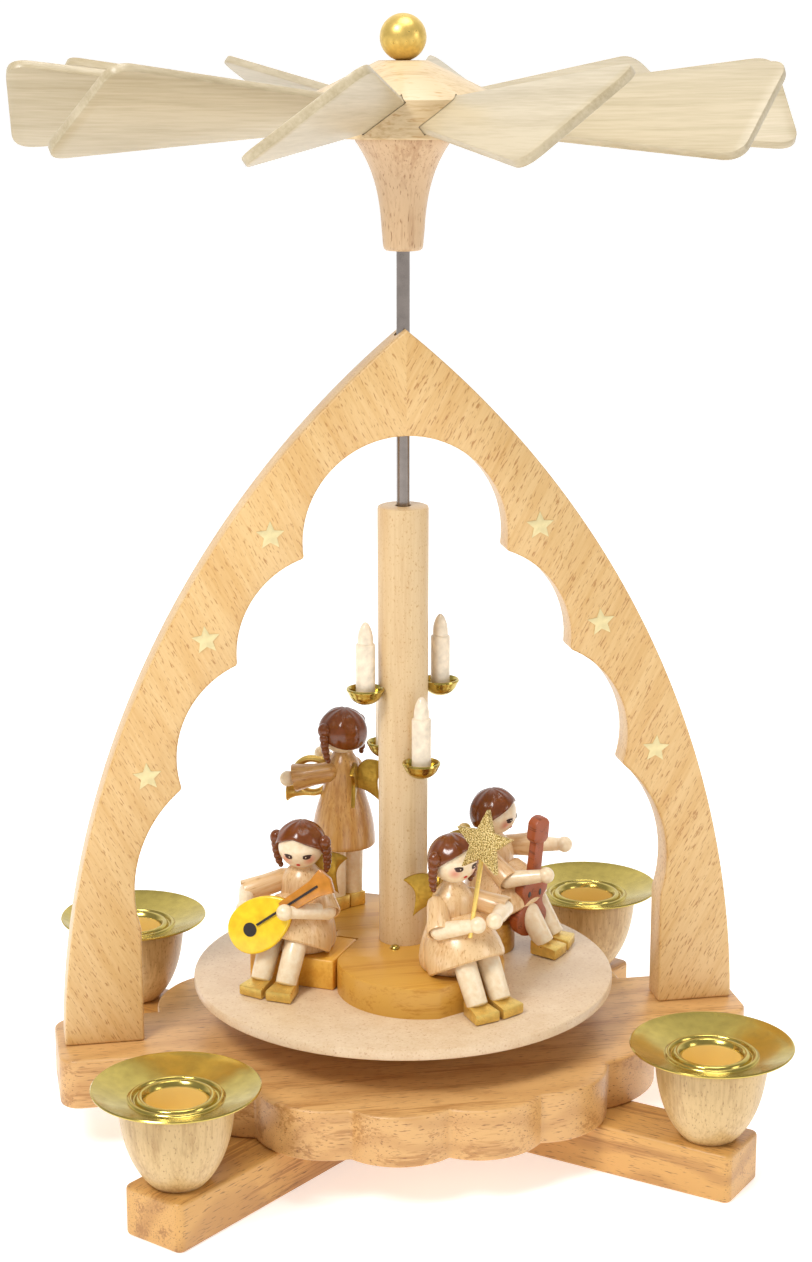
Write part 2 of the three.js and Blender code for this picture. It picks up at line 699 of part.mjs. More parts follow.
// Bladed wheel: the neck and the hub are turned, the blades sit in slanted slots

function neckProfile() {
  const flare = new THREE.CubicBezierCurve(
    new THREE.Vector2(NECK_WAIST_RADIUS, NECK_BASE_Z + NECK_FOOT_HEIGHT),
    new THREE.Vector2(NECK_WAIST_RADIUS, NECK_BASE_Z + NECK_STEM_HEIGHT),
    new THREE.Vector2(NECK_THROAT_RADIUS, NECK_BASE_Z + NECK_THROAT_HEIGHT),
    new THREE.Vector2(NECK_HEAD_RADIUS, HUB_BASE_Z - NECK_HEAD_RIM),
  );
  return [
    [spindleBore, NECK_BASE_Z],
    [NECK_FOOT_RADIUS - NECK_FOOT_EDGE, NECK_BASE_Z],
    [NECK_FOOT_RADIUS, NECK_BASE_Z + NECK_FOOT_EDGE],
    ...flare.getPoints(5).map((p) => [p.x, p.y]),
    [NECK_HEAD_RADIUS, HUB_BASE_Z],
    [spindleBore, HUB_BASE_Z],
    [spindleBore, NECK_BASE_Z],
  ];
}

add('rotor_neck', solid(turned(neckProfile(), 16)), beech);

function bladeSolid(index, grow = 0) {
  const span = BLADE_TIP_RADIUS - BLADE_ROOT_RADIUS;
  const [root, tip] = [BLADE_ROOT_CHORD / 2 + grow, BLADE_TIP_CHORD / 2 + grow];
  const [x0, x1] = [BLADE_ROOT_RADIUS - grow, BLADE_TIP_RADIUS];
  const rimX = HUB_RADIUS;
  const lean = (tip - root) / (x1 - rimX);
  const backX = x1 - BLADE_CORNER;
  const backY = tip - lean * BLADE_CORNER;
  const shape = new THREE.Shape()
    .moveTo(x0, -root)
    .lineTo(rimX, -root)
    .lineTo(backX, -backY)
    .quadraticCurveTo(x1, -tip, x1, -tip + BLADE_CORNER)
    .lineTo(x1, tip - BLADE_CORNER)
    .quadraticCurveTo(x1, tip, backX, backY)
    .lineTo(rimX, root)
    .lineTo(x0, root);
  const half = BLADE_THICKNESS / 2 + grow;
  const board = slab(shape, -half, half, 4)
    .rotateX(rad(BLADE_TILT))
    .translate(-rimX, 0, 0)
    .rotateY(-Math.atan2(BLADE_RISE, span))
    .translate(rimX, 0, BLADE_ROOT_Z)
    .rotateZ(rad(BLADE_FIRST + (index * 360) / BLADE_COUNT));
  return solid(board);
}

const bladeNumbers = Array.from({ length: BLADE_COUNT }, (_, i) => i);
const pegBase = hubTop - BALL_PEG_LENGTH;
const hub = carve(solid(turned([
  [0, HUB_BASE_Z],
  [HUB_RADIUS, HUB_BASE_Z],
  [HUB_RADIUS, HUB_BASE_Z + HUB_RIM_HEIGHT],
  [HUB_TOP_RADIUS, hubTop],
  [0, hubTop],
], 20)), [
  ...bladeNumbers.map((i) => bladeSolid(i, FIT)),
  solid(pin(spindleBore, HUB_BASE_Z - FIT, SPINDLE_TOP)),
  solid(pin(BALL_PEG_RADIUS + FIT, pegBase - FIT, hubTop + FIT, 10)),
]);
add('rotor_hub', hub, limewood);
bladeNumbers.forEach((i) => add(`blade_${String(i + 1).padStart(2, '0')}`, bladeSolid(i), limewood));

function finialProfile() {
  const start = -Math.asin(BALL_FLAT_DROP / BALL_RADIUS);
  const shell = arcPoints([0, hubTop + BALL_FLAT_DROP], BALL_RADIUS, start, Math.PI / 2, 7);
  return [[0, pegBase], [BALL_PEG_RADIUS, pegBase], [BALL_PEG_RADIUS, hubTop], ...shell.slice(1)];
}

add('finial_ball', solid(turned(finialProfile(), 12)), goldPaint);

// Angels. Each is drawn facing +X with +Y on the left, its own zero level at the seat or floor,
// then turned and set down on the turntable.

const bodyProfile = (pairs, grow) => {
  const side = pairs.map(([r, z]) => [r + grow, z]);
  const [[, low], [, high]] = [pairs[0], pairs[pairs.length - 1]];
  return [[0, low - grow], [side[0][0], low - grow], ...side.slice(1), [0, high]];
};

// A seated figure has a turned bodice and over it a hollow bell of a skirt, tilted to the front
function dressSeated(grow = 0) {
  const bodice = solid(turned(bodyProfile(BODICE.map(([r, z]) => [r, z + grow]), grow), 8));
  const [hemRadius, hemDrop] = SKIRT[SKIRT.length - 1];
  const inside = hemRadius - SKIRT_CLOTH;
  const bell = [
    [0, SKIRT[0][1]],
    ...SKIRT.map(([r, drop]) => [r + grow, drop]),
    [hemRadius + grow, hemDrop + grow],
    [inside, hemDrop + grow],
    [inside - SKIRT_CLOTH, hemDrop - SKIRT_HOLLOW + grow],
    [0, hemDrop - SKIRT_HOLLOW + grow],
  ].map(([r, drop]) => [r, -drop]).reverse();
  const skirt = turned(bell, 10).rotateY(rad(-SKIRT_TILT)).translate(0, 0, SKIRT_WAIST_LEVEL);
  const below = 2 * SKIRT_WAIST_LEVEL;
  return bodice.add(solid(skirt).subtract(solid(box([2 * below, 2 * below, below], [0, 0, -below / 2]))));
}

const gownStanding = (grow = 0) => solid(turned(bodyProfile(GOWN, grow), 10));

// An arm is a flared sleeve from shoulder to elbow, a bare forearm and a round hand
function arm([shoulder, elbow, hand], grow = 0) {
  return join([
    solid(ball(SHOULDER_RADIUS + grow, shoulder, 6, 4)),
    solid(rod(shoulder, elbow, SHOULDER_RADIUS + grow, SLEEVE_RADIUS + grow, 7)),
    solid(ball(ELBOW_RADIUS + grow, elbow, 6, 3)),
    solid(rod(elbow, hand, ELBOW_RADIUS + grow, WRIST_RADIUS + grow, 6)),
    solid(ball(HAND_RADIUS + grow, hand, 6, 4)),
  ]);
}

// A shoe is a block that widens and gets lower from the heel to the toe
function shoe([x, y, z], side, grow = 0) {
  const block = new THREE.BoxGeometry(SHOE_LENGTH + 2 * grow, 1, 1);
  const places = block.attributes.position;
  for (let i = 0; i < places.count; i += 1) {
    const toe = places.getX(i) > 0;
    const width = (toe ? SHOE_TOE_WIDTH : SHOE_HEEL_WIDTH) + 2 * grow;
    const height = (toe ? SHOE_TOE_HEIGHT : SHOE_HEEL_HEIGHT) + grow;
    places.setXYZ(i, places.getX(i), places.getY(i) * width, places.getZ(i) > 0 ? height : -grow);
  }
  return solid(block.rotateZ(rad(side * SHOE_TURN)).translate(x, y, z));
}

function legsSeated(grow = 0) {
  return join([-1, 1].flatMap((side) => {
    const y = side * LEG_SPREAD;
    const [hip, ankle] = [[HIP[0], y, HIP[1]], [ANKLE[0], y, ANKLE[1]]];
    return [
      solid(rod(hip, ankle, LEG_RADIUS + grow, ANKLE_RADIUS + grow, 8)),
      shoe([ANKLE[0] + SHOE_AHEAD, y, ANKLE[1] - SHOE_TOE_HEIGHT], side, grow),
    ];
  }));
}

function legsStanding(grow = 0) {
  const top = STANDING_HIP_LEVEL;
  return join([-1, 1].flatMap((side) => [
    solid(pin(ANKLE_RADIUS + grow, STANDING_ANKLE_LEVEL, top, 8, LEG_RADIUS + grow)
      .translate(0, side * STANCE, 0)),
    shoe([SHOE_AHEAD, side * STANCE, 0], side, grow),
  ]));
}

const head = (level, grow = 0) => solid(ball(HEAD_RADIUS + grow, [0, 0, level], 10, 7));

// The hair cap is a shell over the head with the face cut out below a parted fringe.
// A bun over each ear and a lock that hangs from it come with it, except on a plain cap.
function hair(level, plain) {
  const [shiftX, shiftZ] = HAIR_SHIFT;
  const cap = solid(ball(HEAD_RADIUS + FIT + HAIR_THICKNESS, [shiftX, 0, level + shiftZ], 10, 7));
  const [bunX, bunY, bunZ] = BUN_SPOT;
  const [endX, endY, endZ] = LOCK_END;
  const locks = (plain ? [] : [-1, 1]).flatMap((side) => {
    const [bun, end] = [[bunX, side * bunY, level + bunZ], [endX, side * endY, level + endZ]];
    return [
      solid(ball(BUN_RADIUS, bun, 6, 4)),
      solid(rod(bun, end, LOCK_RADIUS, LOCK_TIP_RADIUS, 5)),
    ];
  });
  const [faceX, faceY, faceZ] = FACE_SPOT;
  const face = [-1, 1].map((side) => solid(ball(FACE_RADIUS, [faceX, side * faceY, level + faceZ], 8, 6)));
  const size = 4 * HEAD_RADIUS;
  const nape = solid(box([size, size, size], [0, 0, level - HAIR_NAPE_DROP - size / 2]));
  return carve(join([carve(cap, [...face, nape]), ...locks]), [head(level, FIT)]);
}

// A pair of wings: two leaves with two points each, swept back from a boss between the shoulders
function wings(back, level, figure) {
  const leaf = new THREE.Shape()
    .moveTo(0, WING_HEEL[1])
    .quadraticCurveTo(...WING_HEEL, ...WING_LOW_POINT)
    .quadraticCurveTo(WING_WAIST[0], WING_LOW_POINT[1] / 2, ...WING_WAIST)
    .quadraticCurveTo(WING_WAIST[0], WING_HIGH_POINT[1] / 2, ...WING_HIGH_POINT)
    .quadraticCurveTo(WING_LOW_POINT[0], WING_TOP[1], ...WING_TOP)
    .quadraticCurveTo(WING_TOP[0] / 2, WING_TOP[1], 0, WING_HEEL[0]);
  const leaves = [-1, 1].map((side) => {
    const plate = stood(slab(leaf, -WING_THICKNESS / 2, WING_THICKNESS / 2, 3));
    return solid(plate.rotateZ(rad(180 - WING_SWEEP * side)).translate(-back, 0, level));
  });
  const boss = rod([WING_BOSS_RADIUS - back, 0, level], [-back - WING_THICKNESS, 0, level],
    WING_BOSS_RADIUS, WING_BOSS_RADIUS, 8);
  return carve(join([solid(boss), ...leaves]), [figure]);
}

// Instruments: a pear-shaped lute with a flared neck, a star on a staff, a waisted viol and a horn

function lute(grow = 0) {
  const bowl = new THREE.Shape()
    .moveTo(-LUTE_TAIL, 0)
    .bezierCurveTo(-LUTE_TAIL, -LUTE_BELLY, LUTE_FRONT / 2, -LUTE_BELLY, LUTE_FRONT, -LUTE_FRONT_HALF)
    .lineTo(LUTE_FRONT, LUTE_FRONT_HALF)
    .bezierCurveTo(LUTE_FRONT / 2, LUTE_BELLY, -LUTE_TAIL, LUTE_BELLY, -LUTE_TAIL, 0);
  const neckSide = LUTE_NECK.map(([x, y]) => [x, -y]);
  const neck = outline([...neckSide, ...LUTE_NECK.slice().reverse()]);
  const half = LUTE_THICKNESS / 2 + grow;
  const neckBase = half - LUTE_EDGE - LUTE_NECK_THICKNESS;
  return join([
    solid(edgedSlab(bowl, -half, half, LUTE_EDGE, 5)),
    solid(slab(neck, neckBase, half - LUTE_EDGE)),
  ]);
}

function starStaff(grow = 0) {
  const half = HELD_STAR_THICKNESS / 2 + grow;
  const points = starPoints([0, STAFF_STAR_LEVEL], HELD_STAR_RADIUS, HELD_STAR_WAIST_RADIUS);
  const staff = pin(STAFF_RADIUS + grow, -STAFF_TAIL - grow, STAFF_LENGTH - STAFF_TAIL, 8);
  return join([solid(stood(slab(outline(points), -half, half))), solid(staff)]);
}

function viol() {
  const side = [
    ...bulge([0, -VIOL_END], VIOL_LOWER_BOUT, VIOL_LOWER_RISE, 3),
    VIOL_WAIST,
    ...bulge(VIOL_UPPER_BOUT, VIOL_SHOULDER, VIOL_UPPER_RISE, 3),
    [VIOL_NECK_HALF, VIOL_NUT[1] - FIT],
    VIOL_NUT,
    VIOL_SCROLL,
  ];
  const shape = outline([[0, -VIOL_END], ...side, [0, VIOL_END], ...mirrored(side)]);
  return solid(stood(slab(shape, -VIOL_THICKNESS / 2, VIOL_THICKNESS / 2)).rotateZ(Math.PI / 2));
}

function horn(grow = 0) {
  const tube = HORN_TUBE_RADIUS + grow;
  const ring = stood(new THREE.TorusGeometry(HORN_RING_RADIUS, tube, 5, 12));
  const bell = rod([0, 0, -HORN_RING_RADIUS], [HORN_BELL_LENGTH, 0, -HORN_RING_RADIUS],
    tube, HORN_BELL_RADIUS + grow, 10);
  const pipe = rod([0, 0, HORN_RING_RADIUS], [-HORN_PIPE_LENGTH, 0, HORN_RING_RADIUS],
    tube, HORN_MOUTH_RADIUS + grow, 6);
  return join([solid(ring), solid(bell), solid(pipe)]);
}

const moved = (body, [turnX, turnY, turnZ], at) => (
  solid(geometryOf(body).rotateX(rad(turnX)).rotateY(rad(turnY)).rotateZ(rad(turnZ)).translate(...at))
);

// Sets a body down with its own X along one direction and its own Z near another
function aimed(body, along, facing, at) {
  const x = new THREE.Vector3(...along).normalize();
  const y = new THREE.Vector3(...facing).cross(x).normalize();
  const z = new THREE.Vector3().crossVectors(x, y);
  const frame = new THREE.Matrix4().makeBasis(x, y, z).setPosition(...at);
  return solid(geometryOf(body).applyMatrix4(frame));
}

// Dresses a figure, hands it its item and sets it on its spot. Where the item is thin, the hands
// close round it, and otherwise it is cut back to clear the figure.
function addAngel(name, spec) {
  const { seated, arms, held, hug, heldMaterial, item } = spec;
  const level = seated ? SEATED_HEAD_LEVEL : STANDING_HEAD_LEVEL;
  const figureParts = (grow) => [
    seated ? dressSeated(grow) : gownStanding(grow),
    seated ? legsSeated(grow) : legsStanding(grow),
    head(level, grow),
    ...arms.map((limb) => arm(limb, grow)),
  ];
  const figure = join(figureParts(0));
  const clear = join(figureParts(FIT));
  const back = seated ? SEATED_WING_BACK : STANDING_WING_BACK;
  const wingLevel = seated ? SEATED_WING_LEVEL : STANDING_WING_LEVEL;
  const place = (body) => (
    solid(geometryOf(body).rotateZ(rad(spec.facing)).translate(...spec.at, spec.z))
  );
  add(`${name}_body`, place(hug ? figure.subtract(held(FIT)) : figure), figureWood);
  add(`${name}_hair`, place(hair(level, spec.plainHair)), hairPaint);
  add(`${name}_wings`, place(wings(back, wingLevel, clear)), goldPaint);
  add(`${name}_${item}`, place(hug ? held(0) : held(0).subtract(clear)), heldMaterial);
}

addAngel('angel_lute', {
  at: stoolSpot,
  facing: LUTE_FACING,
  z: stoolTop,
  seated: true,
  arms: [
    [[0.3, -5, 17.4], [7, -12.4, 14.6], [13.6, -9.6, 12.6]],
    [[0.3, 5, 17.4], [4.6, 9.6, 12.2], [15.2, 3.2, 14.2]],
  ],
  item: 'lute',
  held: (grow) => aimed(lute(grow), [-0.28, 0.8, 0.52], [1, 0.1, 0.2], [14.6, -5.4, 9.6]),
  heldMaterial: lutePaint,
});

addAngel('angel_star', {
  at: STAR_SEAT,
  facing: STAR_FACING,
  z: riserTop,
  seated: true,
  arms: [
    [[0.3, -5, 17.4], [5.4, -8.2, 12.8], [13.6, -2.6, 15.6]],
    [[0.3, 5, 17.4], [8.6, 9.6, 15.8], [14.4, 2, 15.9]],
  ],
  item: 'star',
  held: (grow) => moved(starStaff(grow), [-14, 2, 18], [12.6, -3.6, 15.6]),
  heldMaterial: goldPaint,
  hug: true,
});

addAngel('angel_viol', {
  at: VIOL_SEAT,
  facing: VIOL_FACING,
  z: riserTop,
  seated: true,
  plainHair: true,
  arms: [
    [[0.3, -5, 17.4], [7.6, -8.4, 13], [17.6, -6.4, 15]],
    [[0.3, 5, 17.4], [8, 7.6, 18], [17.8, 6.4, 19.6]],
  ],
  item: 'viol',
  held: () => moved(viol(), [0, -3, -25], [14.4, -1.2, 13.4]),
  heldMaterial: violPaint,
});

addAngel('angel_horn', {
  at: HORN_SPOT,
  facing: HORN_FACING,
  z: riserTop,
  seated: false,
  arms: [
    [[0.3, -3.6, 38.4], [6.2, -7, 34.6], [9.4, -0.4, 40.4]],
    [[0.3, 3.6, 38.4], [6.2, 8, 36.6], [9.8, 11.4, 35.6]],
  ],
  item: 'horn',
  held: (grow) => moved(horn(grow), [0, 0, 40], [8, 7.5, 36.1]),
  heldMaterial: goldPaint,
  hug: true,
});

export default group;
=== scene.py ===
# %% [markdown]
# # Christmas pyramid
# A wooden stand with candle cups and a pointed arch, and inside it a carousel of angels that the
# warm air of the candles turns. The packed CAD model gives the sizes and the two moving bodies.
# Each piece that shows is made again here with finer curves, edges and grain, at its place in that
# frame. All sizes below are in millimetres and become metres only when a mesh is made.

# %% Load the packed frame
import math

import bmesh
import bpy
import numpy as np
from mathutils import Matrix, Vector


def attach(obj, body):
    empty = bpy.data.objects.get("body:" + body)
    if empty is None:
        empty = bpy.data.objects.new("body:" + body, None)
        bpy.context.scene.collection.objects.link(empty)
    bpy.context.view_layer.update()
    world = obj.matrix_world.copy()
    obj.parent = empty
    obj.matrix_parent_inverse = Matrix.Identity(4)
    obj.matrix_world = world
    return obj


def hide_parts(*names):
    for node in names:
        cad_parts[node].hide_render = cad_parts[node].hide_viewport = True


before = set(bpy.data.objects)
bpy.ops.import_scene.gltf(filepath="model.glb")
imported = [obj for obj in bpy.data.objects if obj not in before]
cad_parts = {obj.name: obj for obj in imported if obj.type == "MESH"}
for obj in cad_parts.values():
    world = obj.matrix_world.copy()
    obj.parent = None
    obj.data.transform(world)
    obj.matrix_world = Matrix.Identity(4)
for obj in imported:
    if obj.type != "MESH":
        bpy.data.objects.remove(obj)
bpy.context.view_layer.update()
MM = 0.001
rng = np.random.default_rng(7)

# %% [markdown]
# ## Shapes as plain arrays
# A turned, sawn or bent piece is a list of points and faces. They could be drawn with modifiers,
# but small functions that return arrays keep the wood grain simple: each shape remembers its points
# as they were on the workbench, before it was turned and set in place. That copy goes into the
# mesh as the attribute "grain", so the grain runs along each board and never across the whole object.

# %% Shapes
class Shape:
    """Points and faces, with the grain: the same points as they lay on the bench."""

    def __init__(self, points, faces, material=0):
        self.points = np.asarray(points, float).reshape(-1, 3)
        self.faces = [tuple(int(i) for i in face) for face in faces]
        self.grain = self.points.copy()
        self.material = material

    def moved(self, matrix):
        copy = Shape(self.points, self.faces, self.material)
        spin = np.array(matrix)
        copy.points = self.points @ spin[:3, :3].T + spin[:3, 3]
        copy.grain = self.grain
        return copy

    def at(self, x=0.0, y=0.0, z=0.0):
        return self.moved(Matrix.Translation((x, y, z)))

    def turned(self, degrees, axis="Z"):
        return self.moved(Matrix.Rotation(math.radians(degrees), 4, axis))

    def with_grain(self, shift=None):
        shift = rng.uniform(-400, 400, 3) if shift is None else np.array(shift)
        self.grain = self.grain + shift
        return self

    def paint(self, material):
        self.material = material
        return self


print("a shape keeps", ", ".join(vars(Shape([], []))))

# %% Outlines and profiles
def arc(centre, radius, start, end, steps=8):
    """Points on a circle from one angle to another, in degrees."""
    turns = np.radians(np.linspace(start, end, steps + 1))
    return [(centre[0] + radius * math.cos(t), centre[1] + radius * math.sin(t)) for t in turns]


def bezier(*control, steps=12):
    control = [np.array(p, float) for p in control]
    points = []
    for t in np.linspace(0, 1, steps + 1):
        level = control
        while len(level) > 1:
            level = [a * (1 - t) + b * t for a, b in zip(level, level[1:])]
        points.append(tuple(level[0]))
    return points


def bulge(start, end, rise, steps=16):
    """Arc from start to end that bulges to the right of the run; its first point is left out."""
    (x0, y0), (x1, y1) = start, end
    chord = math.hypot(x1 - x0, y1 - y0)
    radius = (chord * chord / 4 + rise * rise) / (2 * rise)
    half = math.asin(chord / (2 * radius))
    ux, uy = (x1 - x0) / chord, (y1 - y0) / chord
    points = []
    for turn in np.linspace(-half, half, steps + 1)[1:]:
        along = chord / 2 + radius * math.sin(turn)
        out = radius * math.cos(turn) - (radius - rise)
        points.append((x0 + ux * along + uy * out, y0 + uy * along - ux * out))
    return points


print("a half turn in steps of 30 degrees has", len(arc((0, 0), 1, 0, 180, 6)), "points")

# %% Solids
ON_AXIS = 1e-6


def lathe(profile, steps=64, closed=False):
    """Turns a profile of radius and height round Z; a closed profile is a ring with a bore."""
    rings, points = [], []
    for r, z in profile:
        if r < ON_AXIS:
            rings.append([len(points)] * steps)
            points.append((0, 0, z))
        else:
            rings.append(list(range(len(points), len(points) + steps)))
            for k in range(steps):
                turn = 2 * math.pi * k / steps
                points.append((r * math.cos(turn), r * math.sin(turn), z))
    pairs = list(zip(rings, rings[1:] + rings[:1] if closed else rings[1:]))
    faces = []
    for low, high in pairs:
        for k in range(steps):
            corners = [low[k], low[(k + 1) % steps], high[(k + 1) % steps], high[k]]
            corners = list(dict.fromkeys(corners))
            if len(corners) > 2:
                faces.append(corners)
    return Shape(points, faces)


def slab(outline, z0, z1):
    """An outline that runs anticlockwise, thickened from one height to another."""
    n = len(outline)
    points = [(x, y, z0) for x, y in outline] + [(x, y, z1) for x, y in outline]
    sides = [(k, (k + 1) % n, n + (k + 1) % n, n + k) for k in range(n)]
    return Shape(points, [tuple(reversed(range(n))), tuple(range(n, 2 * n)), *sides])


def block(length, width, height):
    x, y, z = length / 2, width / 2, height / 2
    return slab([(-x, -y), (x, -y), (x, y), (-x, y)], -z, z)


def ball(radius, steps=40, scale=(1, 1, 1)):
    profile = [(0, -radius)] + arc((0, 0), radius, -90, 90, steps // 2)[1:-1] + [(0, radius)]
    return lathe(profile, steps).moved(Matrix.Diagonal((*scale, 1)))


def rod(start, end, r0, r1, steps=32, rounding=1.0):
    """A tapered rod between two points; rounding 1 gives half-round ends, 0 flat ones."""
    run = Vector(end) - Vector(start)
    length = run.length
    quarter = [(math.cos(t), rounding * math.sin(t)) for t in np.linspace(0, math.pi / 2, 9)]
    low = [(r0 * c, -r0 * s) for c, s in reversed(quarter)]
    high = [(r1 * c, length + r1 * s) for c, s in quarter]
    turn = run.to_track_quat("Z", "Y").to_matrix().to_4x4()
    profile = [(0, low[0][1]), *low[1:], *high[:-1], (0, high[-1][1])]
    return lathe(profile, steps).moved(Matrix.Translation(start) @ turn)


print("a ball has", len(ball(1).faces), "faces")

# %% Edges and cuts
ROUNDED_FROM = 35


def fresh(shape):
    """The shape as a new piece on the bench: its grain is where its points are now."""
    return Shape(shape.points, shape.faces)


def bevelled(shape, width, segments=3):
    """Rounds the edges sharper than ROUNDED_FROM degrees, while the piece still lies on the bench."""
    bm = bmesh.new()
    corners = [bm.verts.new(p) for p in shape.points]
    for face in shape.faces:
        bm.faces.new([corners[i] for i in face])
    bmesh.ops.recalc_face_normals(bm, faces=bm.faces)
    limit = math.radians(ROUNDED_FROM)
    sharp = [e for e in bm.edges if e.is_manifold and e.calc_face_angle(0) > limit]
    bmesh.ops.bevel(
        bm,
        geom=sharp,
        offset=width,
        segments=segments,
        profile=0.5,
        affect="EDGES",
        clamp_overlap=True,
    )
    bm.verts.index_update()
    faces = [[v.index for v in f.verts] for f in bm.faces]
    result = Shape([v.co for v in bm.verts], faces, shape.material)
    bm.free()
    return result


def cut(shape, knife, operation="DIFFERENCE"):
    """Takes one closed shape away from another, or joins it on, with an exact boolean."""
    pair = [new_object("cut", mesh_of("cut", [part])) for part in (shape, knife)]
    boolean = pair[0].modifiers.new("cut", "BOOLEAN")
    boolean.operation = operation
    boolean.object = pair[1]
    boolean.solver = "EXACT"
    done = finished_mesh(pair[0])
    result = Shape(
        [v.co / MM for v in done.vertices], [tuple(p.vertices) for p in done.polygons], shape.material
    )
    meshes = [done, *(obj.data for obj in pair)]
    for obj in pair:
        bpy.data.objects.remove(obj)
    for mesh in meshes:
        bpy.data.meshes.remove(mesh)
    return result


print("a bevelled block has", len(bevelled(block(9, 9, 9), 1).faces), "faces")

# %% Objects in the scene
SHARP_FROM = 38


def new_object(name, data):
    obj = bpy.data.objects.new(name, data)
    bpy.context.scene.collection.objects.link(obj)
    return obj


def finished_mesh(obj):
    """The object's mesh with its modifiers worked in."""
    graph = bpy.context.evaluated_depsgraph_get()
    return bpy.data.meshes.new_from_object(obj.evaluated_get(graph))


def mesh_of(name, shapes):
    points, grain, faces, materials = [], [], [], []
    for shape in shapes:
        base = sum(len(p) for p in points)
        points.append(shape.points)
        grain.append(shape.grain)
        faces += [tuple(base + i for i in face) for face in shape.faces]
        materials += [shape.material] * len(shape.faces)
    mesh = bpy.data.meshes.new(name)
    mesh.from_pydata((np.vstack(points) * MM).tolist(), [], faces)
    store = mesh.attributes.new("grain", "FLOAT_VECTOR", "POINT")
    store.data.foreach_set("vector", np.vstack(grain).ravel())
    mesh.polygons.foreach_set("material_index", materials)
    bm = bmesh.new()
    bm.from_mesh(mesh)
    bmesh.ops.recalc_face_normals(bm, faces=bm.faces)
    bm.to_mesh(mesh)
    bm.free()
    mesh.polygons.foreach_set("use_smooth", [True] * len(mesh.polygons))
    mesh.set_sharp_from_angle(angle=math.radians(SHARP_FROM))
    return mesh


def settle(obj, body, nodes):
    """Lets the object ride on a body in place of CAD nodes."""
    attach(obj, body)
    if nodes:
        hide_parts(*nodes)
    print(obj.name, len(obj.data.polygons), "faces")


def piece(name, shapes, materials, body, slot, *nodes):
    shapes = shapes if isinstance(shapes, list) else [shapes]
    materials = materials if isinstance(materials, list) else [materials]
    obj = new_object(name, mesh_of(name, shapes))
    for material in materials:
        obj.data.materials.append(material)
    settle(obj, body, nodes)


print("edges sharper than", SHARP_FROM, "degrees are shaded sharp")

# %% [markdown]
# ## Materials
# Every finish is procedural. The woods read the "grain" attribute, stretched along the board, so
# that noise becomes long fibres; a second, sharper noise gives the short dark flecks of beech. The
# colours are sRGB hex codes picked from the photograph and turned into linear light. The
# scales of all noises are per millimetre, so a scale of 0.5 gives spots of about 2 mm.

# %% Material tools
# Every copy in a ring reads the grain this many mm further on, so that no two show the same fibres
COPY_SHIFT = 137.0


def colour(code):
    channels = [int(code[i : i + 2], 16) / 255 for i in (1, 3, 5)]
    return (*[c / 12.92 if c <= 0.04045 else ((c + 0.055) / 1.055) ** 2.4 for c in channels], 1)


def add(tree, kind, inputs=None, **settings):
    node = tree.nodes.new(kind)
    for key, value in settings.items():
        setattr(node, key, value)
    for key, value in (inputs or {}).items():
        if isinstance(value, bpy.types.NodeSocket):
            tree.links.new(value, node.inputs[key])
        else:
            node.inputs[key].default_value = value
    return node


def blank(name):
    material = bpy.data.materials.new(name)
    material.use_nodes = True
    material.node_tree.nodes.clear()
    return material, material.node_tree


def surface(tree, **inputs):
    shader = add(tree, "ShaderNodeBsdfPrincipled", {k.replace("_", " "): v for k, v in inputs.items()})
    add(tree, "ShaderNodeOutputMaterial", {"Surface": shader.outputs["BSDF"]})


def grain_of(tree):
    return add(tree, "ShaderNodeAttribute", attribute_name="grain").outputs["Vector"]


def stretched(tree, where, scale, shift=(0, 0, 0)):
    moved = {"Vector": where, "Scale": scale, "Location": shift}
    return add(tree, "ShaderNodeMapping", moved).outputs["Vector"]


def noise(tree, where, scale, detail, **more):
    inputs = {"Vector": where, "Scale": scale, "Detail": detail, **more}
    return add(tree, "ShaderNodeTexNoise", inputs).outputs["Fac"]


def maths(tree, operation, *values):
    return add(tree, "ShaderNodeMath", dict(enumerate(values)), operation=operation).outputs[0]


def mix(tree, factor, a, b):
    """Blends two colours; sockets 6 and 7 of the node are its colour inputs, 2 the colour output."""
    return add(tree, "ShaderNodeMix", {0: factor, 6: a, 7: b}, data_type="RGBA").outputs[2]


def ramp(tree, value, low, high):
    node = add(tree, "ShaderNodeMapRange", {"Value": value, "From Min": low, "From Max": high})
    return node.outputs["Result"]


print("brown is", [round(c, 3) for c in colour("#8a5e2e")[:3]], "in linear light")

# %% [markdown]
# Real pores are a tenth of a millimetre wide and would not show, so the fibres are drawn about half
# a millimetre wide and 15 mm long. The beech flecks are 2 to 4 mm long, as they really are. The
# growth rings are cylinders round the middle of a log that lies beside the board, a little bent.

# %% Wood
FIBRE_ALONG, FIBRE_ACROSS = 0.045, 0.9
LOG_SHIFT = (7, 31, 46)
LOG_BEND = 22.0


def per_axis(axis, along, across):
    return [along if letter == axis else across for letter in "XYZ"]


def growth_rings(tree, where, along, spacing, depth):
    """From 0 between two rings to depth on a ring; the log wanders by LOG_BEND over 30 mm."""
    bend = noise(tree, where, 0.03, 2)
    log = stretched(tree, where, per_axis(along, 0.03, 1.0), LOG_SHIFT)
    reach = add(tree, "ShaderNodeVectorMath", {0: log}, operation="LENGTH").outputs["Value"]
    reach = maths(tree, "MULTIPLY_ADD", bend, LOG_BEND, reach)
    wave = maths(tree, "SINE", maths(tree, "MULTIPLY", reach, 2 * math.pi / spacing))
    return maths(tree, "MULTIPLY", ramp(tree, wave, -0.2, 1.0), depth)


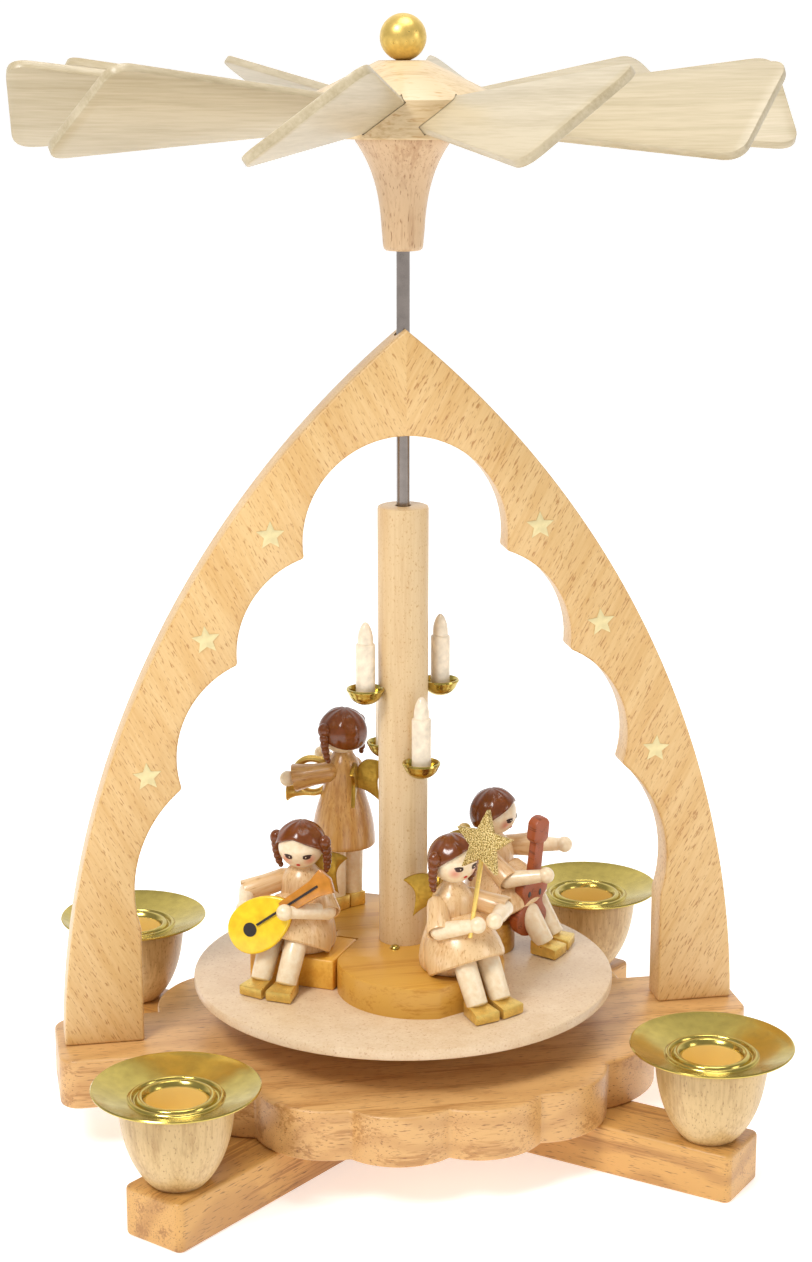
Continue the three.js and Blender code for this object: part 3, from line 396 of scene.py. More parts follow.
def wood(
    name,
    pale,
    dark,
    fleck=None,
    along="X",
    contrast=0.8,
    fineness=1.0,
    roughness=0.42,
    coat=0.25,
    dash=(0.22, 1.5),
    many=0.6,
    rings=None,
    depth=0.55,
):
    """Fibres along an axis of the bench, then growth rings (their distance in mm) and flecks.

    dash holds the scales of the flecks along the fibre and across it; a larger many leaves fewer.
    Without a direction (along is empty) fibres and flecks become even specks.
    """
    material, tree = blank(name)
    where = grain_of(tree)
    fibre = stretched(tree, where, per_axis(along, FIBRE_ALONG, FIBRE_ACROSS * fineness))
    fine = noise(tree, fibre, 1.6, 6, Roughness=0.6)
    broad = noise(tree, fibre, 0.22, 3)
    # Both noises keep near 0.5, so their sum is spread round 1 into the two tones
    tone = maths(tree, "ADD", fine, broad)
    tone = ramp(tree, tone, 1.35 - 0.5 * contrast, 0.65 + 0.2 * contrast)
    base = mix(tree, tone, colour(pale), colour(dark))
    if rings:
        base = mix(tree, growth_rings(tree, where, along, rings, depth), base, colour(dark))
    if fleck:
        dots = noise(tree, stretched(tree, where, per_axis(along, *dash)), 1.0, 2)
        base = mix(tree, ramp(tree, dots, many, many + 0.12), base, colour(fleck))
    bump = add(tree, "ShaderNodeBump", {"Height": fine, "Strength": 0.12, "Distance": 0.0002})
    surface(
        tree,
        Base_Color=base,
        Roughness=roughness,
        Coat_Weight=coat,
        Coat_Roughness=0.25,
        Normal=bump.outputs["Normal"],
    )
    return material


print("fibres are", round(1 / (1.6 * FIBRE_ALONG)), "mm long")

# %% Metal and gloss paint
GRAIN_SIZE = 3.2
# How metallic the brass stays under the painted light in a tray's socket
METALLIC_UNDER_PAINTED_LIGHT = 0.3


def metal(name, tint, roughness, grit=0.0, speckle=None, metallic=1.0, socket=None):
    """Clouds 3 mm wide, or finer with grit, in colour and gloss; speckle is a pair of glitter tones.

    A tray's socket is (height, colour): below that height the metal has this colour and is duller, as
    painted light falling in.
    """
    material, tree = blank(name)
    where = grain_of(tree)
    cloud = noise(tree, where, 0.35 + 2.5 * grit, 4)
    rough = ramp(tree, cloud, 0.2, 0.8)
    rough = maths(tree, "MULTIPLY_ADD", rough, 0.12 + grit * 0.3, roughness)
    relief = {"Height": cloud, "Strength": 0.05 + 0.6 * grit, "Distance": 0.0003}
    bump = add(tree, "ShaderNodeBump", relief)
    shade = (*[0.8 * c for c in colour(tint)[:3]], 1)
    base = mix(tree, ramp(tree, cloud, 0.35, 0.75), colour(tint), shade)
    if speckle:
        bright, dark = speckle
        grains = noise(tree, where, GRAIN_SIZE, 1)
        base = mix(tree, ramp(tree, grains, 0.52, 0.6), base, colour(bright))
        base = mix(tree, ramp(tree, grains, 0.46, 0.38), base, colour(dark))
    # Painted light: below the socket's top the brass gets a pale yellow and less metal, as if lit from
    # above
    if socket:
        top, inside = socket
        height = add(tree, "ShaderNodeSeparateXYZ", {"Vector": where}).outputs["Z"]
        height = maths(tree, "MODULO", height, COPY_SHIFT)
        above = ramp(tree, height, top - 0.2, top + 0.2)
        base = mix(tree, above, colour(inside), base)
        metallic = maths(tree, "MULTIPLY_ADD", above, 1 - METALLIC_UNDER_PAINTED_LIGHT, METALLIC_UNDER_PAINTED_LIGHT)
    surface(
        tree, Base_Color=base, Metallic=metallic, Roughness=rough, Normal=bump.outputs["Normal"]
    )
    return material


def paint(name, tint, roughness=0.25, coat=0.8):
    """Brushed paint: clouds 2 mm wide, up to a third lighter than the tint."""
    material, tree = blank(name)
    deep = colour(tint)
    light = tuple(min(1.0, c * 1.3 + 0.01) for c in deep[:3]) + (1,)
    cloud = noise(tree, grain_of(tree), 0.5, 3)
    base = mix(tree, ramp(tree, cloud, 0.3, 0.7), deep, light)
    surface(tree, Base_Color=base, Roughness=roughness, Coat_Weight=coat, Coat_Roughness=0.06)
    return material


print("glitter grains are about", round(1 / GRAIN_SIZE, 1), "mm wide")

# %% Finishes
# Beech sawn along the fibre and oiled: warm tan with growth rings and short brown rays
beech_bar = wood("beech, oiled", "#d6a25a", "#ae793c", "#8a5e2e", dash=(0.3, 2.6), rings=9)
beech_plate = wood(
    "beech plate", "#d6a668", "#b88449", "#8f5f32", dash=(0.3, 2.8), rings=7, depth=0.4
)
# The same beech cut flat and only waxed: paler, with many fine rays and hardly any rings
arch_wood = wood(
    "beech arch", "#dfba80", "#d2a564", "#b58248", contrast=0.35, dash=(0.45, 2.6), many=0.57
)
column_wood = wood(
    "beech dowel", "#d8bb8e", "#ccaa7c", "#bd925f", along="Z", contrast=0.35, dash=(1.4, 2.6)
)
# Limewood and thin plywood: nearly white, dense and dull, with faint fibres or fine specks
pale_wood = wood("limewood, waxed", "#bdae90", "#a69675", contrast=0.3, fineness=0.9)
cup_wood = wood(
    "limewood, turned", "#d0b07a", "#b4905a", "#a5804e", along="Z", contrast=0.5, dash=(0.8, 2.2)
)
disc_wood = wood(
    "plywood disc", "#e1c8a6", "#d4b58e", "#c6a07c", along="", contrast=0.1, dash=(1.6, 1.6)
)
# Turned beech and a waxed softer block: browner end grain, with clear fibres
neck_wood = wood(
    "beech, turned", "#cbaa82", "#b48e66", "#94693e", along="Z", contrast=0.6, dash=(0.35, 2.4)
)
hub_wood = wood("hub, waxed", "#d2ba92", "#bc9e72", "#bc9868", contrast=0.6, fineness=1.2)
# Water stain on light wood: the fibres stay visible through a strong yellow
riser_wood = wood("wood, yellow stain", "#d29c3e", "#c08428", contrast=0.7)
stool_wood = wood("wood, orange stain", "#eeb444", "#e09e30", contrast=0.5)
# Turned and dipped in clear lacquer: small bright highlights over brown fibres
cloth = dict(along="Z", contrast=0.6, coat=0.6, roughness=0.3, dash=(0.3, 2.2))
dress_wood = wood("figure wood", "#e8c492", "#d8aa72", "#c08c50", **cloth)
golden_dress = wood("figure wood, golden", "#cc9c58", "#b47c3c", "#a4703a", **cloth)
# Spun and polished sheet brass mirrors the room; within a socket a pale, dull yellow is painted light
brass = metal("brass, polished", "#c9b35e", 0.12, socket=(33.2, "#f6da8a"))
foil = metal("gold foil", "#e6d5a0", 0.32, metallic=0.4)
# Gold paint scatters light more than sheet metal, the darker gold paint of the wings still more; glitter
# sparkles
gold = metal("gold paint", "#ecc96e", 0.24, grit=0.2, metallic=0.7)
gold_leaf = metal("gold paint, dull", "#b5903c", 0.3, grit=0.3)
glitter = metal("gold glitter", "#cfb268", 0.3, grit=1.2, speckle=("#f6e4ae", "#7a5f2a"))
steel = metal("bright steel", "#8f8680", 0.1)
# Brushed-on gloss paint: one deep colour with small sharp highlights
hair_paint = paint("brown gloss", "#6a3204", 0.18, 0.1)
lute_yellow = paint("yellow gloss", "#ecbe04", 0.3, 0.5)
lute_orange = paint("orange gloss", "#b87412", 0.3, 0.5)
# Red-brown stain rubbed into bare wood: dark streaks that follow the fibres
viol_brown = wood("wood, red brown stain", "#a45026", "#7e3a16", along="Z", contrast=0.9, fineness=1.6)
# Thin paint on small things: ivory with a soft shine, the marks nearly matt
candle_white = paint("ivory gloss", "#d8c8b0", 0.3, 0.4)
ink = paint("black paint", "#241a16", 0.35, 0.3)
eye_paint = paint("dark brown paint", "#331409", 0.6, 0.0)
lip_paint = paint("red paint", "#b8261a", 0.5, 0.1)
print(len(bpy.data.materials), "finishes")

# %% [markdown]
# The faces and limbs are pale varnished wood. The cheeks have a soft blush, painted here by the
# distance to two points in the head's own coordinates, which the "grain" attribute still holds.

# %% Skin
def skin(name, blush):
    """Varnished pale wood with clouds 1 mm wide, and a blush that fades out 2.1 mm from its middle."""
    material, tree = blank(name)
    where = grain_of(tree)
    cloud = noise(tree, where, 0.9, 4)
    base = mix(tree, ramp(tree, cloud, 0.3, 0.7), colour("#f4e2c2"), colour("#ecd2aa"))
    if blush:
        for side in (-1, 1):
            spot = (4.6, side * 3.2, -2.2)
            far = add(tree, "ShaderNodeVectorMath", {0: where, 1: spot}, operation="DISTANCE")
            base = mix(tree, ramp(tree, far.outputs["Value"], 2.1, 0.3), base, colour("#dd947a"))
    surface(tree, Base_Color=base, Roughness=0.35, Coat_Weight=0.6, Coat_Roughness=0.12)
    return material


face_skin = skin("face, varnished", True)
limb_skin = skin("limbs, varnished", False)
print(len(bpy.data.materials), "materials")

# %% [markdown]
# ## Foot bars and base plate
# Two bars cross below the plate and are halved into each other. The plate's rim is a row of
# convex arcs that meet in sharp notches, with a square ear for each arch leg. An outline of arcs,
# thickened and lightly rounded by a bevel, is how such a board is really sawn and sanded.

# %% Foot bars
BAR_TOP = 12.5
PLATE_TOP = 25.5
BAR_ANGLE = 41.8
BAR_REACH, BAR_HALF, BAR_CORNER = 97, 9, 2
LAP_ROOM = 0.6


def half_lapped(low):
    x, y = BAR_REACH - BAR_CORNER, BAR_HALF - BAR_CORNER
    corners = ((x, -y, -90), (x, y, 0), (-x, y, 90), (-x, -y, 180))
    outline = [p for x, y, turn in corners for p in arc((x, y), BAR_CORNER, turn, turn + 90)]
    bar = slab(outline, 0, BAR_TOP)
    other = block(260, 2 * BAR_HALF + LAP_ROOM, BAR_TOP)
    other = other.turned(-2 * BAR_ANGLE if low else 2 * BAR_ANGLE)
    bar = cut(bar, other.at(z=BAR_TOP if low else 0))
    return bevelled(bar, 0.9).with_grain().turned(BAR_ANGLE if low else -BAR_ANGLE)


piece("foot_bar_low", half_lapped(True), beech_bar, "stand", "beech", "foot_bar_lower")
piece("foot_bar_high", half_lapped(False), beech_bar, "stand", "beech", "foot_bar_upper")

# %% Base plate
NOTCHES = [(0, -59.2), (23.5, -55.5), (44.3, -39.5), (62.5, -14.4)]
RISES = [4.8, 5.3, 5.8]
EAR_CORNER, EAR_ROUNDING = (85, -9.4), 5
BORE_RADIUS, BORE_FLOOR = 4.3, 17.5
quarter = []
for start, end, rise in zip(NOTCHES, NOTCHES[1:], RISES):
    quarter += bulge(start, end, rise)
quarter += arc(EAR_CORNER, EAR_ROUNDING, -90, 0)
right = quarter + [(x, -y) for x, y in reversed(quarter)]
left = [(-x, y) for x, y in reversed(right)]
plate = slab([NOTCHES[0], *right, (0, -NOTCHES[0][1]), *left], BAR_TOP, PLATE_TOP)
bore = [(0, BORE_FLOOR), (BORE_RADIUS, BORE_FLOOR), (BORE_RADIUS, PLATE_TOP + 4.5), (0, PLATE_TOP + 4.5)]
bore = lathe(bore, 48)
plate = cut(bevelled(plate, 0.8), bore).with_grain()
piece("plate", plate, beech_plate, "stand", "beech", "base_plate")

# %% [markdown]
# ## Arch
# Each half is sawn from one board: the outside is a single large arc, the inside is a chain of
# round lobes that meet in points. The two boards lean against each other, so their grain runs
# up to the apex on either side. Rotating the grain copy gives that slope without a second texture.
# The outline runs a little past the apex and is sawn off there, so the two halves meet flat.

# %% Arch outline
HALF_SPAN, CENTRE_DROP, OUTER_RADIUS = 88.1, 5.5, 238.7
centre_x = HALF_SPAN - math.sqrt(OUTER_RADIUS**2 - CENTRE_DROP**2)
centre_z = PLATE_TOP - CENTRE_DROP


def inset(turn, depth):
    """A point this many degrees up the outer arc and this many mm inside it."""
    reach = OUTER_RADIUS - depth
    turn = math.radians(turn)
    return centre_x + reach * math.cos(turn), centre_z + reach * math.sin(turn)


CUSPS = [inset(*p) for p in ((36.3, 20.1), (28.1, 19.8), (19.1, 19.1), (9.2, 17.3))]
CUSP_RISES = [5.5, 6.6, 5.7]
CROWN_TOP = 179.1
LEG_INNER = 68
apex = centre_z + math.sqrt(OUTER_RADIUS**2 - centre_x**2)
low_turn = math.degrees(math.asin(CENTRE_DROP / OUTER_RADIUS))
top_turn = math.degrees(math.atan2(apex - centre_z, -centre_x))
cusp_x, cusp_z = CUSPS[0]
crown = (cusp_x**2 + (CROWN_TOP - cusp_z) ** 2) / (2 * (CROWN_TOP - cusp_z))
crown_z = CROWN_TOP - crown
cusp_turn = math.degrees(math.atan2(cusp_z - crown_z, cusp_x))
PAST_OUTER, PAST_INNER = 0.6, 4
outline = arc((centre_x, centre_z), OUTER_RADIUS, low_turn, top_turn + PAST_OUTER, 72)
outline += arc((0, crown_z), crown, 90 + PAST_INNER, cusp_turn, 24)
for start, end, rise in zip(CUSPS, CUSPS[1:], CUSP_RISES):
    outline += bulge(end, start, rise, 20)[-2::-1] + [end]
outline += [(LEG_INNER, PLATE_TOP)]
print("the arch ends at", round(apex, 1), "mm")

# %% Arch boards
ARCH_HALF = 4.5
BUSH_RADIUS, BUSH_TOP, SPINDLE_ROOM = 3.9, CROWN_TOP + 8, 2.25
GRAIN_SLOPE = 62
board = fresh(slab(outline, -ARCH_HALF, ARCH_HALF).turned(90, "X"))
guide = [(0, 150), (BUSH_RADIUS, 150), (BUSH_RADIUS, BUSH_TOP)]
guide += [(SPINDLE_ROOM, BUSH_TOP), (SPINDLE_ROOM, 220), (0, 220)]
board = cut(bevelled(board, 0.7), lathe(guide, 40))
board = cut(board, block(40, 40, 400).at(x=-20, z=200))
for side, name in ((1, "right"), (-1, "left")):
    mirror = Matrix.Diagonal((side, 1, 1, 1))
    half = board.moved(mirror)
    half.grain = board.turned(GRAIN_SLOPE, "Y").points
    half.with_grain()
    piece(f"arch_{name}", half, arch_wood, "stand", "maple", f"arch_half_{name}")

# %% [markdown]
# ## Copies round the axis
# Blades, cups, trays, saucers and candles all repeat round the spindle. One Geometry Nodes tree
# makes them: it instances the given piece on a set of points, turns each copy, and can alternate
# the turn and the height. The tree ends in real geometry, and the result is kept as a plain mesh.

# %% Ring of copies
def grain_per_copy(tree, geometry):
    """Moves the grain of every copy on by COPY_SHIFT in all three directions."""
    old = {"Name": "grain"}
    old = add(tree, "GeometryNodeInputNamedAttribute", old, data_type="FLOAT_VECTOR")
    copy = add(tree, "GeometryNodeInputMeshIsland").outputs["Island Index"]
    offset = maths(tree, "MULTIPLY", copy, COPY_SHIFT)
    shift = add(tree, "ShaderNodeCombineXYZ", {"X": offset, "Y": offset, "Z": offset}).outputs[0]
    new = {0: old.outputs["Attribute"], 1: shift}
    new = add(tree, "ShaderNodeVectorMath", new, operation="ADD").outputs[0]
    stored = {"Geometry": geometry, "Name": "grain", "Value": new}
    kind = {"data_type": "FLOAT_VECTOR", "domain": "POINT"}
    return add(tree, "GeometryNodeStoreNamedAttribute", stored, **kind).outputs[0]


def ring_tree():
    tree = bpy.data.node_groups.new("Ring of copies", "GeometryNodeTree")
    interface = tree.interface
    interface.new_socket("Geometry", in_out="OUTPUT", socket_type="NodeSocketGeometry")
    interface.new_socket("Geometry", in_out="INPUT", socket_type="NodeSocketGeometry")
    for name, kind in (
        ("Count", "NodeSocketInt"),
        ("First angle", "NodeSocketFloat"),
        ("Step", "NodeSocketFloat"),
        ("Odd turn", "NodeSocketFloat"),
        ("Odd rise", "NodeSocketFloat"),
        ("Material", "NodeSocketMaterial"),
    ):
        interface.new_socket(name, in_out="INPUT", socket_type=kind)
    given = add(tree, "NodeGroupInput").outputs
    index = add(tree, "GeometryNodeInputIndex").outputs[0]
    odd = maths(tree, "MODULO", index, 2.0)
    turn = maths(tree, "MULTIPLY_ADD", index, given["Step"], given["First angle"])
    turn = maths(tree, "MULTIPLY_ADD", odd, given["Odd turn"], turn)
    rise = maths(tree, "MULTIPLY", odd, given["Odd rise"])
    place = add(tree, "ShaderNodeCombineXYZ", {"Z": rise}).outputs[0]
    spin = add(tree, "ShaderNodeCombineXYZ", {"Z": maths(tree, "RADIANS", turn)}).outputs[0]
    points = add(tree, "GeometryNodePoints", {"Count": given["Count"], "Position": place}).outputs[0]
    copies = {"Points": points, "Instance": given["Geometry"], "Rotation": spin}
    copies = add(tree, "GeometryNodeInstanceOnPoints", copies).outputs[0]
    real = add(tree, "GeometryNodeRealizeInstances", {"Geometry": copies}).outputs[0]
    stored = grain_per_copy(tree, real)
    done = add(tree, "GeometryNodeSetMaterial", {"Geometry": stored, "Material": given["Material"]})
    add(tree, "NodeGroupOutput", {"Geometry": done.outputs[0]})
    return tree


ring = ring_tree()


def ring_of(name, shape, material, body, slot, nodes, count, first, step, odd_turn=0, odd_rise=0):
    """Makes count copies, the first at an angle in degrees; every odd one turns and rises more."""
    source = new_object(name + "_one", mesh_of(name + "_one", [shape]))
    modifier = source.modifiers.new("ring", "NODES")
    modifier.node_group = ring
    values = {
        "Count": count,
        "First angle": float(first),
        "Step": float(step),
        "Odd turn": float(odd_turn),
        "Odd rise": odd_rise * MM,
        "Material": material,
    }
    for item in ring.interface.items_tree:
        if item.in_out == "INPUT" and item.name in values:
            modifier[item.identifier] = values[item.name]
    mesh = finished_mesh(source)
    mesh.name = name
    bpy.data.objects.remove(source)
    settle(new_object(name, mesh), body, nodes)


print("the ring tree has", len(ring.nodes), "nodes")

# %% [markdown]
# ## Candle cups and drip trays
# The cups are turned bowls. The brass trays are spun sheet: a wide sloping flange, a raised ring,
# a groove and a rounded lip round the candle socket. Both are profiles swept on a lathe.

# %% Cups and trays
CUP_DISTANCE = 87.5
cup = [(0, 12.5), (6.4, 12.5), *bezier((6.8, 12.9), (13.2, 19.5), (13.8, 33.5), steps=20)]
cup += [(13.6, 33.9), (11.3, 33), (8, 33), (8, 22.5), (0, 22.5)]
tray = [(0, 24), (7.7, 24), (7.7, 33), (11, 33)]
tray += [(19.94, 36.2), (20.05, 36.5), (19.8, 36.75), (19.4, 36.6)]
tray += [*bezier((19.2, 36.5), (14.5, 34.75), (11.6, 33.9), steps=6)]
tray += [*arc((10.8, 33.85), 0.55, 20, 160, 8), (10, 33.55), (9.75, 33.5)]
tray += [*arc((8.6, 33.6), 0.9, 10, 150, 10), (7.35, 33.5), (7.2, 33), (7.2, 24.5), (0, 24.5)]
NAMES = ["back_right", "back_left", "front_left", "front_right"]
CUP_RING = dict(count=4, first=BAR_ANGLE, step=90, odd_turn=90 - 2 * BAR_ANGLE)
cup = lathe(cup, 72).at(x=CUP_DISTANCE)
cup_nodes = [f"candle_cup_{n}" for n in NAMES]
ring_of("candle_cups", cup, cup_wood, "stand", "limewood", cup_nodes, **CUP_RING)
tray = lathe(tray, 96).at(x=CUP_DISTANCE)
tray_nodes = [f"drip_tray_{n}" for n in NAMES]
ring_of("drip_trays", tray, brass, "stand", "brass", tray_nodes, **CUP_RING)

# %% [markdown]
# ## Foil stars
# Small five-pointed stars of brass foil are stuck on the front of the arch, three on each half.
# They are thin slabs whose faces rise to the middle, so they catch the light like embossed foil.

# %% Foil stars
def star(reach, waist, thickness, ridge):
    """Five points; waist is the inner corners' share of the reach, ridge the rise to the middle."""
    n = 10
    rim = []
    for k in range(n):
        r = reach if k % 2 == 0 else reach * waist
        turn = math.pi / 2 + k * math.pi / 5
        rim.append((r * math.cos(turn), r * math.sin(turn)))
    points = [(x, y, 0) for x, y in rim] + [(x, y, thickness) for x, y in rim]
    points += [(0, 0, 0), (0, 0, thickness + ridge)]
    faces = []
    for k in range(n):
        m = (k + 1) % n
        faces += [(k, m, n + m, n + k), (m, k, 2 * n), (n + k, n + m, 2 * n + 1)]
    return Shape(points, faces)


FOIL_DEPTH, FOIL_TURNS = 9.7, (36.3, 28.7, 19.3)
FOIL_SPOTS = [inset(turn, FOIL_DEPTH) for turn in FOIL_TURNS]
stars = []
for side in (-1, 1):
    for x, z in FOIL_SPOTS:
        flat = star(3.7, 0.46, 0.2, 0.25).turned(rng.uniform(-6, 6))
        stars.append(flat.turned(90, "X").at(side * x, -ARCH_HALF, z))
piece("foil_stars", stars, foil, "stand", "brass")

# %% [markdown]
# ## Spindle, column and turntable
# The spindle is a plain steel rod. The column is a dowel with a bore, and the turntable is a thin
# disc with a rounded rim. On it lies a low block with round lobes. It has a hollow for the stool and
# a flat for the legs of the angel with the star.

# %% Spindle, column, disc
DISC_BASE, DISC_TOP = 35.9, 38.9
SPINDLE_RADIUS = 1.65
COLUMN_BORE = 2
rod_and_collar = [(0, 20.5), (0.4, 20.5), (SPINDLE_RADIUS, 23.5), (SPINDLE_RADIUS, 32.9), (4, 32.9)]
rod_and_collar += [(4, DISC_BASE), (SPINDLE_RADIUS, DISC_BASE), (SPINDLE_RADIUS, 262), (0, 262)]
piece("spindle_rod", lathe(rod_and_collar, 40), steel, "carousel", "steel", "spindle")
disc = [(COLUMN_BORE, DISC_BASE), (53.6, DISC_BASE), (54.1, 36.2), (54.25, 36.6)]
disc += [(54.25, 38.2), (54.1, 38.6), (53.6, DISC_TOP), (COLUMN_BORE, DISC_TOP)]
disc = lathe(disc, 128, closed=True).with_grain()
piece("disc", disc, disc_wood, "carousel", "limewood", "turntable_disc")
dowel = [(COLUMN_BORE, DISC_TOP), (6.2, DISC_TOP), (6.4, 160.4), (6.25, 160.9), (5.8, 161.1)]
dowel = lathe([*dowel, (COLUMN_BORE, 161.1)], 64, closed=True).with_grain()
piece("dowel", dowel, column_wood, "carousel", "maple", "column")

# %% Stool
SEAT = 46.9
STOOL_SIZE = (17, 23, 8)
STOOL_DISTANCE, STOOL_TURN, STOOL_FACING = 26.1, math.radians(179.8), 239
STOOL_SPOT = (STOOL_DISTANCE * math.cos(STOOL_TURN), STOOL_DISTANCE * math.sin(STOOL_TURN))


def stool_block(grow):
    shape = block(*(size + grow for size in STOOL_SIZE))
    if not grow:
        shape = bevelled(shape, 0.5).with_grain()
    return shape.turned(STOOL_FACING).at(*STOOL_SPOT, DISC_TOP + STOOL_SIZE[2] / 2)


print("the stool and the lobed block both end at", SEAT, "mm")

# %% Lobed block
STAR_SPOT, STAR_FACING = (8.4, -22), 295
LOBES = [(1.7, -14.8, 21.3), (0, 3, 17), (-9, 22, 15), (22, 12, 10.4)]
STOOL_ROOM = 0.6
COLUMN_ROOM = 6.3
LEGS_FROM, LEGS_ROOM = 10.2, (30, 40, 20)
riser = None
for x, y, r in LOBES:
    edge = [(r, DISC_TOP), (r, SEAT - 0.6), (r - 0.2, SEAT - 0.15), (r - 0.7, SEAT)]
    lobe = fresh(lathe([(0, DISC_TOP), *edge, (0, SEAT)], 96).at(x, y))
    riser = cut(riser, lobe, "UNION") if riser else lobe
riser = cut(riser, fresh(stool_block(STOOL_ROOM)))
riser = cut(riser, lathe([(0, 30), (COLUMN_ROOM, 30), (COLUMN_ROOM, 60), (0, 60)], 48))
notch = block(*LEGS_ROOM).at(x=LEGS_FROM + LEGS_ROOM[0] / 2).turned(STAR_FACING)
riser = cut(riser, fresh(notch.at(*STAR_SPOT, DISC_TOP))).with_grain((90, 40, 0))
piece("lobed_block", riser, riser_wood, "carousel", "yellow_stain", "riser_block")
piece("stool", stool_block(0), stool_wood, "carousel", "orange_stain", "stool_block")
nail = [(0, 46.6), (1.3, 46.6), (1.3, 47.1), (1.0, 47.6), (0.5, 47.85), (0, 47.9)]
piece("nail_head", lathe(nail, 24).at(-3.5, -7.2), brass, "carousel", "steel")

# %% [markdown]
# ## Saucers and candles on the column
# Four small brass bowls sit against the column, each with a turned, ivory-painted candle that ends
# in a rounded flame. They alternate between two heights, so the ring tree lowers every odd one.

# %% Saucers and candles
SAUCER_DISTANCE = 10.5
bowl = [(0, 111), *[(r * 1.13, z) for r, z in arc((0, 115), 4, -90, -14, 12)[1:]]]
bowl += [(4.7, 114.5), (4.85, 114.9), (4.7, 115.25), (4.35, 115.3), (4.05, 115)]
bowl += [*bezier((3.8, 114.3), (3.4, 112.8), (2.7, 112.3), steps=5), (0, 112.3)]
dowel_tool = lathe([(0, 0), (6.45, 0), (6.45, 300), (0, 300)], 64).at(x=-SAUCER_DISTANCE)
bowl = cut(lathe(bowl, 48), dowel_tool).at(x=SAUCER_DISTANCE)
candle = [(0, 112.4), (2.45, 112.4), (2.45, 126.2), (2.35, 126.6), (2.05, 126.8)]
candle += bezier((1.95, 126.9), (2.1, 129.6), (1.0, 132.3), (0, 132.3), steps=10)
candle = lathe(candle, 40).at(x=SAUCER_DISTANCE)
SAUCER_RING = dict(count=4, first=195, step=90, odd_rise=-18)
saucer_nodes = [f"saucer_{k}" for k in range(1, 5)]
ring_of("saucers", bowl, brass, "carousel", "brass", saucer_nodes, **SAUCER_RING)
candle_nodes = [f"mini_candle_{k}" for k in range(1, 5)]
ring_of(
    "small_candles", candle, candle_white, "carousel", "candle_paint", candle_nodes, **SAUCER_RING
)

# %% [markdown]
# ## Bladed wheel
# The neck is a turned trumpet, the hub a flat cone with slanted slots, and the blades are thin
# tapered boards glued in the slots. The slots are cut with the blade's own slab, a little larger.

# %% Neck
neck = [(1.95, 224.1), (4.2, 224.1), (4.7, 224.5), (4.9, 225.3), (5.0, 226.6)]
neck += bezier((5.2, 228), (5.5, 237), (7.2, 244), (11.5, 250), steps=20)[1:]
neck += [(11.7, 250.6), (11.7, 251.3), (1.95, 251.3)]
neck = lathe(neck, 72, closed=True).with_grain()
piece("neck", neck, neck_wood, "carousel", "beech", "rotor_neck")

# %% Blades
HUB_RADIUS = 23.3
BLADE_FROM, BLADE_TO = 16, 93.5
BLADE_HALF_ROOT, BLADE_HALF_TIP, BLADE_CORNER = 12.4 / 2, 34.5 / 2, 6
BLADE_HALF = 1.1
BLADE_PITCH, BLADE_LIFT, BLADE_LEVEL = 36, math.degrees(math.atan2(2.2, 77.5)), 257
BLADES, FIRST_BLADE, BLADE_STEP = 10, 246.3, 36


def blade(grow=0.0, steps=10):
    """A board that widens from the hub to the tip; grow makes the tool for its slot."""
    root, tip = BLADE_HALF_ROOT + grow, BLADE_HALF_TIP
    lean = (tip - root) / (BLADE_TO - HUB_RADIUS)
    back = (BLADE_TO - BLADE_CORNER, tip - lean * BLADE_CORNER)
    corner = bezier(back, (BLADE_TO, tip), (BLADE_TO, tip - BLADE_CORNER), steps=steps)
    upper = [(BLADE_FROM - grow, root), (HUB_RADIUS, root), *corner]
    rim = upper + [(x, -y) for x, y in reversed(upper)]
    return slab(list(reversed(rim)), -BLADE_HALF - grow, BLADE_HALF + grow)


def tilted(shape):
    """Turns a blade about its own length and lifts its tip, round the point at the hub's rim."""
    shape = shape.turned(BLADE_PITCH, "X").at(x=-HUB_RADIUS).turned(-BLADE_LIFT, "Y")
    return shape.at(x=HUB_RADIUS, z=BLADE_LEVEL)


blade_nodes = [f"blade_{k:02d}" for k in range(1, BLADES + 1)]
BLADE_RING = dict(count=BLADES, first=FIRST_BLADE, step=BLADE_STEP)
print("the blades' tips are lifted by", round(BLADE_LIFT, 2), "degrees")

# %% Hub and ball
SLOT_ROOM = 0.12
hub = [(0, 251.3), (HUB_RADIUS - 0.4, 251.3), (HUB_RADIUS, 251.7), (HUB_RADIUS, 260.3)]
hub = lathe([*hub, (HUB_RADIUS - 0.4, 260.8), (6.4, 268.8), (5.9, 269), (0, 269)], 120)
for k in range(BLADES):
    hub = cut(hub, fresh(tilted(blade(SLOT_ROOM, 2)).turned(FIRST_BLADE + BLADE_STEP * k)))
piece("hub", hub.with_grain(), hub_wood, "carousel", "limewood", "rotor_hub")
vane = tilted(bevelled(blade(), 0.35, 2))
ring_of("blades", vane, pale_wood, "carousel", "limewood", blade_nodes, **BLADE_RING)
knob = lathe([(0, 269), (1.5, 269), *arc((0, 274.4), 5.6, -72, 89, 28), (0, 280)], 64)
piece("knob", knob, gold, "carousel", "gold_paint", "finial_ball")

# %% [markdown]
# ## Angels
# Each angel is put together from turned parts, as the real one is: a bell dress, a ball head,
# sleeves, forearms with round hands, straight legs and wedge shoes. A function draws them facing
# +X with the seat at zero height, and each figure is then turned and set on its place.

# %% Dresses
HEAD = 5.8


def smooth(profile):
    """Rounds a lathe profile by one pass of corner cutting, keeping both ends."""
    points = [profile[0]]
    for a, b in zip(profile, profile[1:]):
        points.append((a[0] * 0.75 + b[0] * 0.25, a[1] * 0.75 + b[1] * 0.25))
        points.append((a[0] * 0.25 + b[0] * 0.75, a[1] * 0.25 + b[1] * 0.75))
    return points + [profile[-1]]


